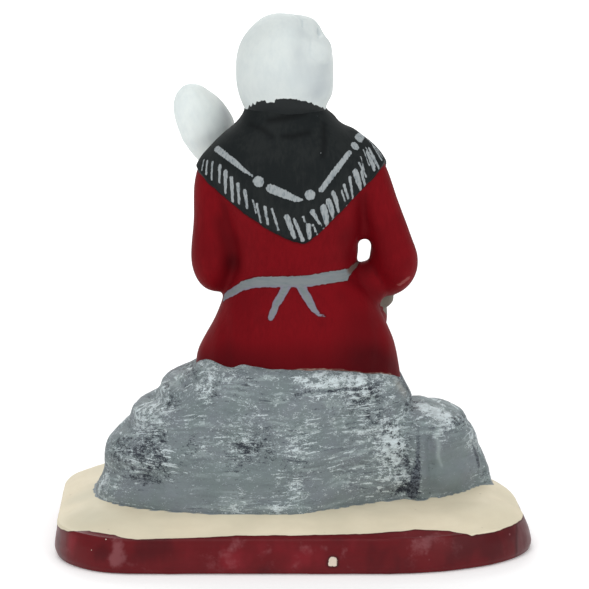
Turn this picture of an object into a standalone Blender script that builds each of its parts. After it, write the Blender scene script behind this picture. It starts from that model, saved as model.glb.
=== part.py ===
"""Seated spinner santon: one moulded clay casting of a woman on a rock, with her distaff, on a low base."""

import math

import bmesh
import bpy
import numpy as np
from mathutils import Matrix, Vector, noise
from mathutils.bvhtree import BVHTree

# The frame: X runs to the woman's left, she faces -Y, Z is up, and the base stands on Z = 0.

# Base
BASE_WIDTH = 0.0675
BASE_DEPTH = 0.044
BAND_HEIGHT = 0.0052  # upright edge of the base
BAND_DRAFT = 0.0006  # how far that edge leans in
CROWN_RISE = 0.0017  # swell of the ground above that edge
EDGE_ROUNDING = 0.0009  # between the edge and the ground
RIGHT_TAPER = 0.0018  # how far the right side draws in towards the front
BACK_LEFT_RADIUS = 0.010
FRONT_LEFT_RADIUS = 0.015
FRONT_RIGHT_RADIUS = 0.020
BACK_RIGHT_RADIUS = 0.018
CUT_ALLOWANCE = 0.0015  # clay below Z = 0, trimmed off flat

# Rock
SIDE_LEDGE = 0.0056  # bare ground beside the rock
BACK_LEDGE = 0.0068  # bare ground behind it
FRONT_LEDGE = 0.0105  # bare ground in front of it, mostly under the skirt
SEAT_HEIGHT = 0.0265  # from the table to the top of the rock
RIGHT_HOLLOW = 0.33  # share of the rock's depth lost at the foot of its back, on the right
ROCK_ROUGHNESS = 0.00032

# Figure, drawn on a grid of 48.5 units from the seat to the crown of the bonnet
SITTING_HEIGHT = 0.0485
GRID = 48.5
TOE_LEDGE = 0.0008  # between the toes and the front of the base
SHAWL_THICKNESS = 0.0004

# Finish of the casting
GRAINS_HIGH = 180  # voxels in the full height
SOFTENING = 3
TRIANGLES = 9600

UNIT = SITTING_HEIGHT / GRID
TOE_REACH = 21.2 * UNIT
FIGURE_LINE = TOE_REACH + TOE_LEDGE - BASE_DEPTH / 2  # the figure's middle, front to back
GROUND = BAND_HEIGHT + CROWN_RISE
FLOOR = (GROUND - SEAT_HEIGHT) / UNIT  # the ground's height on the figure's grid


def smooth_through(rows, steps=4):
    """Rows read from a Catmull-Rom curve through the given rows."""
    given = np.array(rows, float)
    given = np.vstack([2 * given[0] - given[1], given, 2 * given[-1] - given[-2]])
    t = np.linspace(0, 1, steps, endpoint=False)[:, None]
    found = []
    for a, b, c, d in zip(given, given[1:], given[2:], given[3:]):
        curve = 2 * b + (c - a) * t + (2 * a - 5 * b + 4 * c - d) * t**2
        found.append((curve + (3 * b - a - 3 * c + d) * t**3) / 2)
    return np.vstack([*found, given[-2:-1]])


def ease(low, high, value):
    """0 below low and 1 above high, with a smooth step between."""
    t = np.clip((value - low) / (high - low), 0, 1)
    return t * t * (3 - 2 * t)


def on_figure(x, y, z):
    """A point of the figure's grid in metres, in the part's frame."""
    return Vector((x * UNIT, FIGURE_LINE + y * UNIT, SEAT_HEIGHT + z * UNIT))


def skin(bm, rings):
    """A closed skin over rings of equally many points."""
    rows = [[bm.verts.new(point) for point in ring] for ring in rings]
    for lower, upper in zip(rows, rows[1:]):
        for i in range(len(lower)):
            bm.faces.new((lower[i - 1], lower[i], upper[i], upper[i - 1]))
    bm.faces.new(rows[0][::-1])
    bm.faces.new(rows[-1])


def limb(bm, stations, place=on_figure, sides=24, steps=5, tips=(78, 55, 30)):
    """A round-ended limb through stations of x, y, z, sideways radius and other radius."""
    rows = smooth_through(stations, steps)
    ways = np.gradient(rows[:, :3], axis=0)
    ways /= np.linalg.norm(ways, axis=1)[:, None]
    rings = []

    def add_ring(row, way, shift, share):
        along = Vector(way)
        sideways = Vector((1, 0, 0)) if abs(along.x) < 0.85 else Vector((0, 1, 0))
        sideways = (sideways - along * sideways.dot(along)).normalized()
        other = along.cross(sideways)
        centre = Vector(row[:3]) + along * shift
        angles = (math.tau * i / sides for i in range(sides))
        rings.append(
            [
                place(
                    *(
                        centre
                        + sideways * row[3] * share * math.cos(a)
                        + other * row[4] * share * math.sin(a)
                    )
                )
                for a in angles
            ]
        )

    tips = [math.radians(a) for a in tips]
    for tip in tips:
        add_ring(rows[0], ways[0], -rows[0][3:].mean() * math.sin(tip), math.cos(tip))
    for row, way in zip(rows, ways):
        add_ring(row, way, 0, 1)
    for tip in reversed(tips):
        add_ring(rows[-1], ways[-1], rows[-1][3:].mean() * math.sin(tip), math.cos(tip))
    skin(bm, rings)


def stack(bm, levels, place=on_figure, sides=64, steps=4, squareness=2.2, folds=None):
    """A loft of level rings through levels of z, x, y, half width and half depth."""
    rings = []
    for z, x, y, a, b in smooth_through(levels, steps):
        ring = []
        for i in range(sides):
            angle = math.tau * i / sides
            c, s = math.cos(angle), math.sin(angle)
            wave = folds(angle, z) if folds else 0
            across = math.copysign(abs(c) ** (2 / squareness), c) * (a + wave)
            deep = math.copysign(abs(s) ** (2 / squareness), s) * (b + wave)
            ring.append(place(x + across, y + deep, z))
        rings.append(ring)
    skin(bm, rings)


def egg(bm, centre, radii, turn=None, place=on_figure, detail=4):
    """An ellipsoid, turned about its centre by a rotation matrix where one is given."""
    made = bmesh.ops.create_icosphere(bm, subdivisions=detail, radius=1)
    turn = turn or Matrix.Identity(3)
    for vert in made["verts"]:
        spread = Vector(c * r for c, r in zip(vert.co, radii))
        vert.co = place(*(Vector(centre) + turn @ spread))


# Base and rock


def base_outline(inset, count=96):
    """Points round the base, by corner arcs, anticlockwise from above, and in by inset."""
    half_x, half_y = BASE_WIDTH / 2 - inset, BASE_DEPTH / 2 - inset
    corners = (
        (1, 1, BACK_LEFT_RADIUS),
        (-1, 1, BACK_RIGHT_RADIUS),
        (-1, -1, FRONT_RIGHT_RADIUS),
        (1, -1, FRONT_LEFT_RADIUS),
    )
    points = []
    for quarter, (sx, sy, radius) in enumerate(corners):
        r = max(radius - inset, radius * 0.1)
        for i in range(count // 4):
            a = math.radians(90) * (quarter + i / (count // 4 - 1))
            x = sx * (half_x - r) + r * math.cos(a)
            y = sy * (half_y - r) + r * math.sin(a)
            if sx < 0:
                widest = BASE_DEPTH / 2 - BACK_RIGHT_RADIUS
                x += RIGHT_TAPER * (max(widest - y, 0) / (widest + BASE_DEPTH / 2)) ** 2
            points.append((x, y))
    return points


def base_form(bm):
    """The base: an upright edge, rounded over into ground that swells towards the rock."""
    rounding = EDGE_ROUNDING
    draft = BAND_DRAFT
    profile = [
        (draft, -CUT_ALLOWANCE),
        (draft * 0.7, 0),
        (0, BAND_HEIGHT * 0.22),
        (draft * 0.4, BAND_HEIGHT * 0.6),
        (draft, BAND_HEIGHT - rounding),
        (draft + rounding * 0.3, BAND_HEIGHT - rounding * 0.3),
        (draft + rounding, BAND_HEIGHT),
        (draft + rounding * 3.5, BAND_HEIGHT + CROWN_RISE * 0.6),
        (draft + rounding * 7, BAND_HEIGHT + CROWN_RISE),
        (draft + rounding * 14, BAND_HEIGHT + CROWN_RISE),
    ]
    rings = [[Vector((x, y, z)) for x, y in base_outline(inset)] for inset, z in profile]
    skin(bm, rings)


def on_rock(x, y, z):
    """A point of the rock, given in shares of its half width, its half depth and its height."""
    half_width = BASE_WIDTH / 2 - SIDE_LEDGE
    back, front = BASE_DEPTH / 2 - BACK_LEDGE, BASE_DEPTH / 2 - FRONT_LEDGE
    foot = BAND_HEIGHT
    if y > 0:
        y *= 1 - RIGHT_HOLLOW * ease(0.05, -0.42, x) * (1 - min(max(z, 0), 1))
    point = Vector(
        (
            x * half_width,
            (back - front) / 2 + y * (back + front) / 2,
            foot + z * (SEAT_HEIGHT - foot),
        )
    )
    wide = noise.noise(Vector((x * 3.4, y * 1.6, z * 4.9)))
    fine = noise.noise(Vector((x * 9.5 + 7, y * 4.4, z * 12.8)))
    outward = Vector((point.x, point.y * 2, 0)).normalized()
    return point + outward * (wide + fine * 0.5) * ROCK_ROUGHNESS


def rock_form(bm):
    """The rock: a broad block in ledges, and a rounded boulder against its right end."""
    # Height, left end, right end, back, front
    ledges = (
        (-0.10, 0.995, -0.62, 1.00, -1.00),
        (0.05, 0.992, -0.62, 1.00, -1.00),
        (0.13, 0.990, -0.61, 0.98, -1.00),
        (0.22, 0.968, -0.61, 0.95, -0.99),
        (0.32, 0.932, -0.605, 0.92, -0.98),
        (0.40, 0.918, -0.60, 0.905, -0.96),
        (0.47, 0.885, -0.60, 0.89, -0.94),
        (0.55, 0.850, -0.60, 0.87, -0.92),
        (0.61, 0.835, -0.595, 0.86, -0.90),
        (0.67, 0.805, -0.59, 0.84, -0.89),
        (0.74, 0.725, -0.565, 0.82, -0.87),
        (0.83, 0.665, -0.540, 0.80, -0.84),
        (0.90, 0.610, -0.530, 0.78, -0.82),
        (0.965, 0.545, -0.520, 0.75, -0.78),
        (1.01, 0.450, -0.490, 0.68, -0.70),
        (1.03, 0.330, -0.370, 0.50, -0.50),
    )
    levels = [
        (z, (left + right) / 2, (back + front) / 2, (left - right) / 2, (back - front) / 2)
        for z, left, right, back, front in ledges
    ]
    stack(bm, levels, on_rock, sides=72, steps=4, squareness=2.6)
    boulder = (
        (-0.10, -0.735, -0.15, 0.265, 0.86),
        (0.11, -0.730, -0.15, 0.265, 0.85),
        (0.25, -0.710, -0.15, 0.238, 0.82),
        (0.37, -0.697, -0.15, 0.227, 0.79),
        (0.47, -0.673, -0.14, 0.205, 0.74),
        (0.565, -0.640, -0.12, 0.182, 0.67),
        (0.62, -0.625, -0.10, 0.148, 0.56),
        (0.65, -0.610, -0.08, 0.100, 0.36),
    )
    stack(bm, boulder, on_rock, sides=48, steps=4, squareness=2.1)
    egg(bm, (0.33, 0.20, 0.775), (0.30, 0.46, 0.28), place=on_rock)


# Dress


def skirt_folds(angle, z):
    """Folds of the skirt, deeper towards its hem."""
    depth = 0.55 * ease(0, 1, (4 - z) / (4 - FLOOR))
    return depth * (math.cos(angle * 9 + 0.7) + 0.5 * math.cos(angle * 14 + 2))


def dress_form(bm):
    """Bodice, hips, thighs under the skirt, and the skirt falling from the knees to the ground."""
    bodice = (
        (-4.0, -0.4, 1.5, 14.0, 8.6),
        (0.0, -0.4, 1.5, 14.2, 9.0),
        (2.3, -0.3, 1.4, 13.3, 8.9),
        (5.2, -0.6, 1.2, 12.0, 8.4),
        (8.8, -0.5, 0.8, 10.3, 7.2),
        (11.9, 0.0, 0.6, 8.8, 6.0),
        (14.5, 0.1, 0.5, 8.6, 6.2),
        (18.0, 0.0, 0.6, 9.7, 6.7),
        (22.0, 0.3, 0.7, 10.4, 7.2),
        (26.0, 0.5, 0.8, 12.0, 7.2),
        (27.8, 0.5, 0.8, 11.9, 7.0),
        (29.4, 0.5, 0.8, 11.0, 6.7),
        (31.0, 0.6, 0.7, 9.3, 6.2),
        (32.6, 0.9, 0.5, 7.1, 5.7),
        (34.2, 1.2, 0.3, 5.6, 5.2),
        (36.5, 1.4, 0.0, 5.0, 4.6),
    )
    stack(bm, bodice)
    thighs = (
        ((4.2, 0.0, 1.2, 5.6, 5.2), (5.4, -5.0, 3.4, 4.9, 5.0), (5.9, -12.0, 3.8, 4.2, 4.8)),
        ((-5.4, 0.0, 1.6, 6.0, 5.4), (-7.2, -5.0, 3.6, 6.0, 5.2), (-7.9, -12.0, 3.9, 5.4, 4.9)),
    )
    for thigh in thighs:
        limb(bm, thigh)
        knee, _, _, width, depth = thigh[-1]
        limb(
            bm,
            (
                (knee, -12.2, 3.2, width, depth),
                (knee * 0.98, -12.8, FLOOR * 0.45, 4.8, 4.6),
                (knee * 0.96, -13.2, FLOOR + 4.5, 4.8, 4.8),
            ),
        )
    lap = (
        (-3.0, -1.0, -7.0, 9.0, 9.6),
        (4.0, -1.2, -6.8, 9.0, 9.6),
        (6.9, -1.4, -6.2, 7.8, 8.6),
        (7.5, -1.5, -5.7, 5.6, 6.3),
    )
    stack(bm, lap)
    fall = (
        (FLOOR * 1.04, -0.6, -11.7, 11.4, 5.8),
        (FLOOR * 0.94, -0.6, -11.8, 12.6, 6.7),
        (FLOOR * 0.79, -0.6, -11.8, 12.5, 6.7),
        (FLOOR * 0.40, -0.7, -11.6, 12.0, 6.4),
        (FLOOR * 0.05, -1.0, -11.2, 11.7, 6.4),
        (3.0, -1.3, -10.6, 10.9, 6.4),
        (5.6, -1.6, -11.0, 9.4, 5.0),
        (6.9, -1.8, -11.5, 8.0, 3.4),
    )
    stack(bm, fall, sides=96, folds=skirt_folds)


def sleeve_form(bm):
    """Both sleeves, from the shoulder over the elbow to the wrist."""
    left = (
        (7.6, 0.5, 29.0, 2.6, 3.4),
        (10.4, 0.7, 25.4, 3.4, 3.6),
        (11.3, 0.8, 19.0, 2.9, 3.4),
        (11.5, 0.8, 13.6, 3.2, 3.6),
        (11.2, -0.8, 11.6, 3.2, 3.1),
        (10.5, -4.4, 13.6, 2.6, 2.6),
        (9.3, -7.6, 17.6, 1.9, 1.9),
    )
    right = (
        (-6.6, 0.5, 29.4, 2.6, 3.4),
        (-9.3, 0.7, 26.4, 3.0, 3.5),
        (-11.7, 0.9, 20.8, 2.8, 3.3),
        (-13.3, 1.0, 16.2, 2.9, 3.3),
        (-13.7, 0.4, 12.6, 3.2, 3.3),
        (-12.2, -2.8, 9.7, 3.1, 2.8),
        (-9.0, -8.6, 8.6, 2.0, 1.9),
    )
    limb(bm, left)
    limb(bm, right)


def shoe_form(bm):
    """The toes of both shoes, out from under the hem."""
    for side in (1, -1):
        egg(bm, (side * 5.0, -17.9, FLOOR + 0.9), (2.1, 3.1, 1.7))


# Head


HEAD_CENTRE = Vector((1.5, -0.6, 40.9))
HEAD_TURN = (
    Matrix.Rotation(math.radians(-4), 3, "Y")
    @ Matrix.Rotation(math.radians(8), 3, "X")
)


def on_head(x, y, z):
    """A point of the head's own grid, turned and set on the neck."""
    return on_figure(*(HEAD_CENTRE + HEAD_TURN @ Vector((x, y, z))))


def face_form(bm):
    """A calm, plain face on usual proportions: eyes halfway, nose and mouth by thirds."""
    egg(bm, (0, -1.3, -0.7), (4.9, 5.5, 6.2), place=on_head)
    egg(bm, (0, -4.9, -5.6), (1.9, 1.6, 1.5), place=on_head)
    limb(
        bm,
        (
            (0, -6.4, 0.6, 0.5, 0.5),
            (0, -7.0, -1.0, 0.55, 0.6),
            (0, -7.6, -2.4, 0.85, 0.75),
        ),
        on_head,
        sides=12,
    )
    for side in (1, -1):
        egg(bm, (side * 2.0, -5.7, 0.8), (1.6, 0.8, 0.5), place=on_head)
        egg(bm, (side * 2.7, -4.9, -2.6), (1.7, 1.4, 1.6), place=on_head)
        egg(bm, (side * 1.95, -5.35, -0.5), (0.95, 0.95, 0.75), place=on_head)
    egg(bm, (0, -6.25, -3.95), (1.25, 0.6, 0.32), place=on_head)
    egg(bm, (0, -6.15, -4.5), (1.05, 0.6, 0.36), place=on_head)


def bonnet_form(bm):
    """The bonnet: a full crown, a rolled edge round the face, and sides down to the jaw."""
    egg(bm, (0.1, 0.9, 0.5), (6.9, 6.5, 7.0), place=on_head)
    egg(bm, (0, 0.6, -2.5), (6.4, 5.6, 5.4), place=on_head)
    turns = 40
    edge = []
    for i in range(turns + 1):
        angle = math.radians(-62) + math.radians(304) * i / turns
        ruffle = 0.22 * math.cos(i * 2.4)
        edge.append(
            (
                5.55 * math.cos(angle),
                -3.7 - ruffle - 0.9 * max(0, -math.sin(angle)),
                0.2 + 6.25 * math.sin(angle),
                0.95 + ruffle * 0.4,
                0.95 + ruffle * 0.4,
            )
        )
    limb(bm, edge, on_head, sides=12, steps=2)


def collar_form(bm):
    """The soft roll where the shawl crosses below the chin."""
    turns = 24
    roll = []
    for i in range(turns + 1):
        angle = math.radians(200) + math.radians(140) * i / turns
        fall = max(0, -math.sin(angle))
        roll.append(
            (
                0.9 + 5.6 * math.cos(angle),
                0.6 + 5.3 * math.sin(angle),
                33.2 - 3.4 * fall**2,
                1.3,
                1.3,
            )
        )
    limb(bm, roll, sides=12, steps=2)


# Hands, distaff and spindle


DISTAFF_FOOT = Vector((3.9, -7.9, 8.6))
DISTAFF_TOP = Vector((14.9, -8.6, 36.8))
SPINDLE_FOOT = Vector((-9.2, -13.6, 9.2))
SPINDLE_TOP = Vector((1.0, -12.6, 11.0))


def hand_form(bm, grasp, along, palm):
    """A closed hand round a stick at grasp, with its palm on the given side."""
    along = along.normalized()
    palm = (palm - along * palm.dot(along)).normalized()
    across = along.cross(palm)
    turn = Matrix((along, palm, across)).transposed()
    egg(bm, grasp + palm * 1.45, (2.2, 1.3, 1.7), turn)
    reach = 1.5
    for i in range(4):
        middle = grasp + along * (i - 1.5) * 1.02
        finger = []
        for degrees in range(50, 281, 23):
            bend = math.radians(degrees)
            tip = middle + (palm * math.cos(bend) + across * math.sin(bend)) * reach
            finger.append((*tip, 0.62, 0.62))
        limb(bm, finger, sides=10, steps=2)
    thumb = []
    for degrees in range(-30, -151, -20):
        bend = math.radians(degrees)
        lift = along * (1.3 - degrees / 90)
        tip = grasp + lift + (palm * math.cos(bend) + across * math.sin(bend)) * reach
        thumb.append((*tip, 0.66, 0.66))
    limb(bm, thumb, sides=10, steps=2)


def distaff_form(bm):
    """The distaff's stick, from her lap to inside the wool."""
    ends = [DISTAFF_FOOT, DISTAFF_TOP - (DISTAFF_TOP - DISTAFF_FOOT) * 0.3]
    limb(bm, [(*end, 0.8, 0.8) for end in ends], sides=14)


def wool_form(bm):
    """The wool dressed on the distaff, widest above its middle."""
    axis = (DISTAFF_TOP - DISTAFF_FOOT).normalized()
    length = 14.4
    rows = []
    for share in np.linspace(0.01, 0.995, 16):
        radius = 4.5 * math.sqrt(1 - (2 * share - 1) ** 2) * (0.86 + 0.22 * share)
        rows.append((*(DISTAFF_TOP + axis * length * (share - 1)), radius, radius))
    limb(bm, rows, sides=32, steps=2, tips=())


def spindle_form(bm):
    """The spindle with its wound thread, lying across her lap."""
    axis = SPINDLE_TOP - SPINDLE_FOOT
    limb(bm, [(*SPINDLE_FOOT, 0.65, 0.65), (*SPINDLE_TOP, 0.5, 0.5)], sides=12)
    wound = [
        (*(SPINDLE_FOOT + axis * share), radius, radius)
        for share, radius in ((0.62, 0.7), (0.72, 1.25), (0.80, 1.35), (0.90, 0.7))
    ]
    limb(bm, wound, sides=16)


def hands_form(bm):
    """The left hand on the distaff, the right hand on the spindle."""
    axis = (DISTAFF_TOP - DISTAFF_FOOT).normalized()
    hand_form(bm, DISTAFF_FOOT + axis * 11.8, axis, Vector((0.75, 0.8, -0.5)))
    axis = SPINDLE_TOP - SPINDLE_FOOT
    hand_form(bm, SPINDLE_FOOT + axis * 0.34, axis, Vector((-0.4, 0.9, 0.25)))


# Fusing the clay and carving its surface


FORMS = {
    "base": (base_form,),
    "rock": (rock_form,),
    "dress": (dress_form, sleeve_form),
    "collar": (collar_form,),
    "head": (face_form, bonnet_form),
    "tools": (distaff_form, wool_form, spindle_form, hands_form),
    "shoes": (shoe_form,),
}


def form_meshes():
    """A bmesh for each group of forms."""
    made = {}
    for name, makers in FORMS.items():
        bm = bmesh.new()
        for make in makers:
            make(bm)
        bmesh.ops.recalc_face_normals(bm, faces=bm.faces)
        made[name] = bm
    return made


def fused(meshes):
    """One closed mesh of all the forms, by a voxel remesh."""
    joined = bpy.data.meshes.new("clay")
    whole = bmesh.new()
    for bm in meshes.values():
        part = bpy.data.meshes.new("form")
        bm.to_mesh(part)
        whole.from_mesh(part)
        bpy.data.meshes.remove(part)
    whole.to_mesh(joined)
    whole.free()
    clay = bpy.data.objects.new("clay", joined)
    bpy.context.scene.collection.objects.link(clay)
    remesh = clay.modifiers.new("fuse", "REMESH")
    remesh.mode = "VOXEL"
    remesh.voxel_size = (SEAT_HEIGHT + SITTING_HEIGHT) / GRAINS_HIGH
    soften = clay.modifiers.new("soften", "SMOOTH")
    soften.factor = 0.5
    soften.iterations = SOFTENING
    graph = bpy.context.evaluated_depsgraph_get()
    mesh = bpy.data.meshes.new_from_object(clay.evaluated_get(graph))
    bpy.data.objects.remove(clay)
    return mesh


def hem_height(x, y):
    """Height of the shawl's hem on the figure's grid: a point behind, and a lower one in front."""
    left = np.maximum(x + 1.3, 0)
    right = np.maximum(-1.3 - x, 0)
    behind = 16.4 + np.hypot(0.45 * left + 0.015 * left**2 + 0.97 * right, 0.7)
    before = 12.6 + np.abs(x) * 1.0
    return before + (behind - before) * ease(-2.5, 1.5, y)


def carve(mesh, meshes):
    """Raises the shawl above the dress."""
    count = len(mesh.vertices)
    points = np.empty(count * 3, np.float32)
    mesh.vertices.foreach_get("co", points)
    points = points.reshape(-1, 3).astype(float)
    normals = np.empty(count * 3, np.float32)
    mesh.vertex_normals.foreach_get("vector", normals)
    normals = normals.reshape(-1, 3)
    x, y, z = np.transpose((points - on_figure(0, 0, 0)) / UNIT)
    trees = {name: BVHTree.FromBMesh(bm) for name, bm in meshes.items()}
    clothed = np.zeros(count)
    for i in np.flatnonzero(z > 8):
        gaps = {name: tree.find_nearest(points[i])[3] for name, tree in trees.items()}
        clothed[i] = min(gaps, key=gaps.get) in ("dress", "collar")
    shawl = ease(-0.35, 0.35, z - hem_height(x, y)) * clothed
    points += normals * (shawl * SHAWL_THICKNESS)[:, None]
    mesh.vertices.foreach_set("co", points.astype(np.float32).ravel())
    mesh.update()


def flat_foot(mesh):
    """Trims the casting flat at Z = 0."""
    bm = bmesh.new()
    bm.from_mesh(mesh)
    cut = bmesh.ops.bisect_plane(
        bm,
        geom=bm.verts[:] + bm.edges[:] + bm.faces[:],
        plane_co=(0, 0, 0),
        plane_no=(0, 0, -1),
        clear_outer=True,
    )
    rim = [edge for edge in cut["geom_cut"] if isinstance(edge, bmesh.types.BMEdge)]
    bmesh.ops.contextual_create(bm, geom=rim)
    bmesh.ops.triangulate(bm, faces=bm.faces)
    bm.to_mesh(mesh)
    bm.free()


def thinned(mesh):
    """The mesh with about TRIANGLES faces."""
    clay = bpy.data.objects.new("clay", mesh)
    bpy.context.scene.collection.objects.link(clay)
    thin = clay.modifiers.new("thin", "DECIMATE")
    thin.ratio = TRIANGLES / (2 * len(mesh.polygons))
    graph = bpy.context.evaluated_depsgraph_get()
    made = bpy.data.meshes.new_from_object(clay.evaluated_get(graph))
    bpy.data.objects.remove(clay)
    return made


def painted_clay():
    """Matt hand paint on fired clay; the dress's red stands for the whole casting."""
    material = bpy.data.materials.new("painted_clay")
    material.use_nodes = True
    shader = material.node_tree.nodes["Principled BSDF"]
    shader.inputs["Base Color"].default_value = (0.30, 0.015, 0.02, 1)
    shader.inputs["Roughness"].default_value = 0.6
    shader.inputs["Metallic"].default_value = 0
    return material


def build():
    for old in list(bpy.data.objects):
        bpy.data.objects.remove(old)
    meshes = form_meshes()
    mesh = fused(meshes)
    carve(mesh, meshes)
    for bm in meshes.values():
        bm.free()
    mesh = thinned(mesh)
    flat_foot(mesh)
    mesh.name = "santon"
    mesh.materials.clear()
    mesh.materials.append(painted_clay())
    mesh.shade_smooth()
    mesh.set_sharp_from_angle(angle=math.radians(40))
    santon = bpy.data.objects.new("santon", mesh)
    bpy.context.scene.collection.objects.link(santon)


build()
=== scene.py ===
"""Seated spinner santon: the painted finish of a moulded clay figure, laid over its CAD solid."""

import math

import bmesh
import bpy
import numpy as np
from bpy.props import FloatProperty, FloatVectorProperty, PointerProperty
from bpy.types import Operator, Panel, PropertyGroup
from mathutils import Matrix, Vector, noise
from mathutils.bvhtree import BVHTree


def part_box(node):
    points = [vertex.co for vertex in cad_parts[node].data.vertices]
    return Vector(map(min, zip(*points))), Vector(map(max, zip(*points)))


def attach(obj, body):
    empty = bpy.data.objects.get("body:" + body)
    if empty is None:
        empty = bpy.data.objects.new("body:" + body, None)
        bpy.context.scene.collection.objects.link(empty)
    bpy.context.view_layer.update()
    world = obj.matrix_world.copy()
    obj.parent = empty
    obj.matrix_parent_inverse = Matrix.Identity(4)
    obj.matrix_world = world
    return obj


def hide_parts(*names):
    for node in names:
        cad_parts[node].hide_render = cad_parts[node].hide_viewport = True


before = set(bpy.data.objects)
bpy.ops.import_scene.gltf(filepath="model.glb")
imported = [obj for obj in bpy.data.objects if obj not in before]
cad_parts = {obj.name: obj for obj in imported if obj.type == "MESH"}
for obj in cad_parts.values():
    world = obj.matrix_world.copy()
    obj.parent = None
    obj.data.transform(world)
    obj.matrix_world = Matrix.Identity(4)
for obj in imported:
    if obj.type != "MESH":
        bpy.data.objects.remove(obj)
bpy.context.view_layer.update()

bl_info = {
    "name": "Seated Spinner Santon",
    "version": (1, 0, 0),
    "blender": (4, 5, 0),
    "location": "3D View > Sidebar > Santon",
    "description": "Builds and paints a moulded clay figurine over its CAD solid",
    "category": "Add Mesh",
}

# The frame: X runs to the woman's left, she faces -Y, Z is up, and the base stands on Z = 0.

MM = 0.001
CAST = "santon"
CAST_LOW, CAST_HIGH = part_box(CAST)

GRID = 48.5  # units from the seat to the crown of the bonnet
TOE_REACH = 21.2  # units from the middle of her body to the tips of her toes
TOE_LEDGE = 0.0008  # what the base reaches beyond them
HEAD_CENTRE = (1.5, -0.6, 40.9)  # in the same units
HEAD_TILT, HEAD_NOD = -4, 8  # degrees

UNPAINTED = 9.0  # a distance in mm that no painted edge reaches

# The rock: metres from the base's edges in to its foot, and how it changes along its length
ROCK_IN_ENDS, ROCK_IN_BACK, ROCK_IN_FRONT = 0.0056, 0.0068, 0.0105
BOULDER_FORWARD, MIDDLE_SINK, RIGHT_SINK = 0.0040, 0.0005, 0.0015

# The base: how its right end slants and leans in, and how its left end swells
END_SLANT, END_LEAN, END_FULLER = 0.0028, 0.0011, 0.0004
END_WIDEST = 0.012  # from the back of the base

# Depths in metres of what is cut, pressed or left in the clay
ARM_CREASE, SHAWL_FOLD, PLEAT = 0.00010, 0.00008, 0.00006
BONNET_CREASE, NOTCH, GATHER, PRESSED, DAB = 0.00016, 0.00026, 0.00009, 0.00013, 0.00004
EYE_CORNER, EYELID, LIPS_MEET = 0.00020, 0.00012, 0.00012
STRAND, WOOL_DENT = 0.00002, 0.00012
BED, LUMP, PIT, CRACK, ROCK_DENT = 0.00030, 0.00013, 0.00005, 0.00016, 0.00034
SWAY, DIMPLE, CHIP = 0.00010, 0.00004, 0.00022

# The view from behind, as a place in a square picture and a ray from it
PICTURE = 589
VIEW_HEIGHT = 13.0  # degrees above the horizon
VIEW_DISTANCE = 0.55
VIEW_TARGET = Vector((0, 0, 0.0347))
VIEW_SPAN = 0.0832  # what the picture spans at the target
PIXEL = VIEW_SPAN / PICTURE / MM  # a pixel's width there, in mm
NEARER = 1.02  # how much larger her back shows than the target
FILM_WIDTH = 36


# Sizes and colours


def tone(red, green, blue):
    """A linear colour from its everyday values, 0 to 255."""
    shares = (value / 255 for value in (red, green, blue))
    return (*(s / 12.92 if s <= 0.04045 else ((s + 0.055) / 1.055) ** 2.4 for s in shares), 1.0)


def length(name, description, default):
    return FloatProperty(
        name=name, description=description, default=default, min=0.00001, precision=5, unit="LENGTH"
    )


def colour(name, description, default):
    return FloatVectorProperty(
        name=name, description=description, default=tone(*default), size=4, min=0, max=1,
        subtype="COLOR",
    )


class SantonSizes(PropertyGroup):
    """Sizes of the casting and the fineness of its pieces."""

    base_width: length("Base Width", "Left to right", CAST_HIGH.x - CAST_LOW.x)
    base_depth: length("Base Depth", "Front to back", CAST_HIGH.y - CAST_LOW.y)
    band_height: length("Band Height", "Upright edge of the base", 0.0052)
    crown_rise: length("Crown Rise", "Swell of the ground above the band", 0.0017)
    seat_height: length("Seat Height", "From the table to the top of the rock", 0.0265)
    sitting_height: length("Sitting Height", "From the seat to the top of the bonnet", 0.0485)
    rock_roughness: length("Rock Roughness", "Swell of the rock's wide lumps", 0.00032)
    shawl_thickness: length("Shawl Thickness", "Step from the dress up to the shawl", 0.0004)
    gown_grain: length("Gown Grain", "Spacing of the gown's surface points", 0.00032)
    rock_grain: length("Rock Grain", "Spacing of the rock's surface points", 0.00027)
    head_grain: length("Head Grain", "Spacing of the surface points of bonnet and wool", 0.00019)
    hand_grain: length("Hand Grain", "Spacing of the surface points of face and hands", 0.00014)


class SantonColours(PropertyGroup):
    """Paints of the figurine."""

    dress: colour("Dress", "Red of the dress", (116, 8, 18))
    dress_shade: colour("Dress Shade", "Red in the folds", (70, 3, 9))
    shawl: colour("Shawl", "Black of the shawl", (27, 31, 32))
    trim: colour("Shawl Trim", "Grey of the shawl's fringe and dashes", (153, 159, 161))
    string: colour("Apron String", "Grey of the apron's string", (122, 128, 130))
    apron: colour("Apron", "Taupe of the apron", (115, 108, 98))
    white: colour("White", "Bonnet and wool", (212, 219, 217))
    white_shade: colour("White Shade", "Bluish shade of the whites", (192, 202, 204))
    skin: colour("Skin", "Face and hands", (214, 168, 140))
    blush: colour("Blush", "Cheeks and lips", (186, 96, 84))
    hair: colour("Hair", "Band of hair under the bonnet", (92, 74, 58))
    wood: colour("Wood", "Distaff and spindle", (120, 82, 50))
    shoe: colour("Shoes", "Black of the shoes", (30, 26, 26))
    rock: colour("Rock", "Grey of the rock", (120, 130, 133))
    # Also used for the painted shadow in the rock's cleft and cracks
    rock_dark: colour("Rock Dark", "Near-black brushed into the rock's hollows", (38, 42, 52))
    rock_light: colour("Rock Light", "White brushed over the rock's ridges", (209, 220, 223))
    ground: colour("Ground", "Cream top of the base", (226, 216, 191))
    rim: colour("Rim", "Gloss red of the base's edge", (98, 14, 21))
    # Painted reflections on the gloss edge, and its rubbed places
    rim_sheen_and_wear: colour("Worn Rim", "Rubbed places of the edge", (146, 92, 96))
    floor: colour("Floor", "Floor of the stage", (250, 250, 250))


def sizes():
    return bpy.context.scene.santon_sizes


def colours():
    return bpy.context.scene.santon_colours


# Placing


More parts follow.
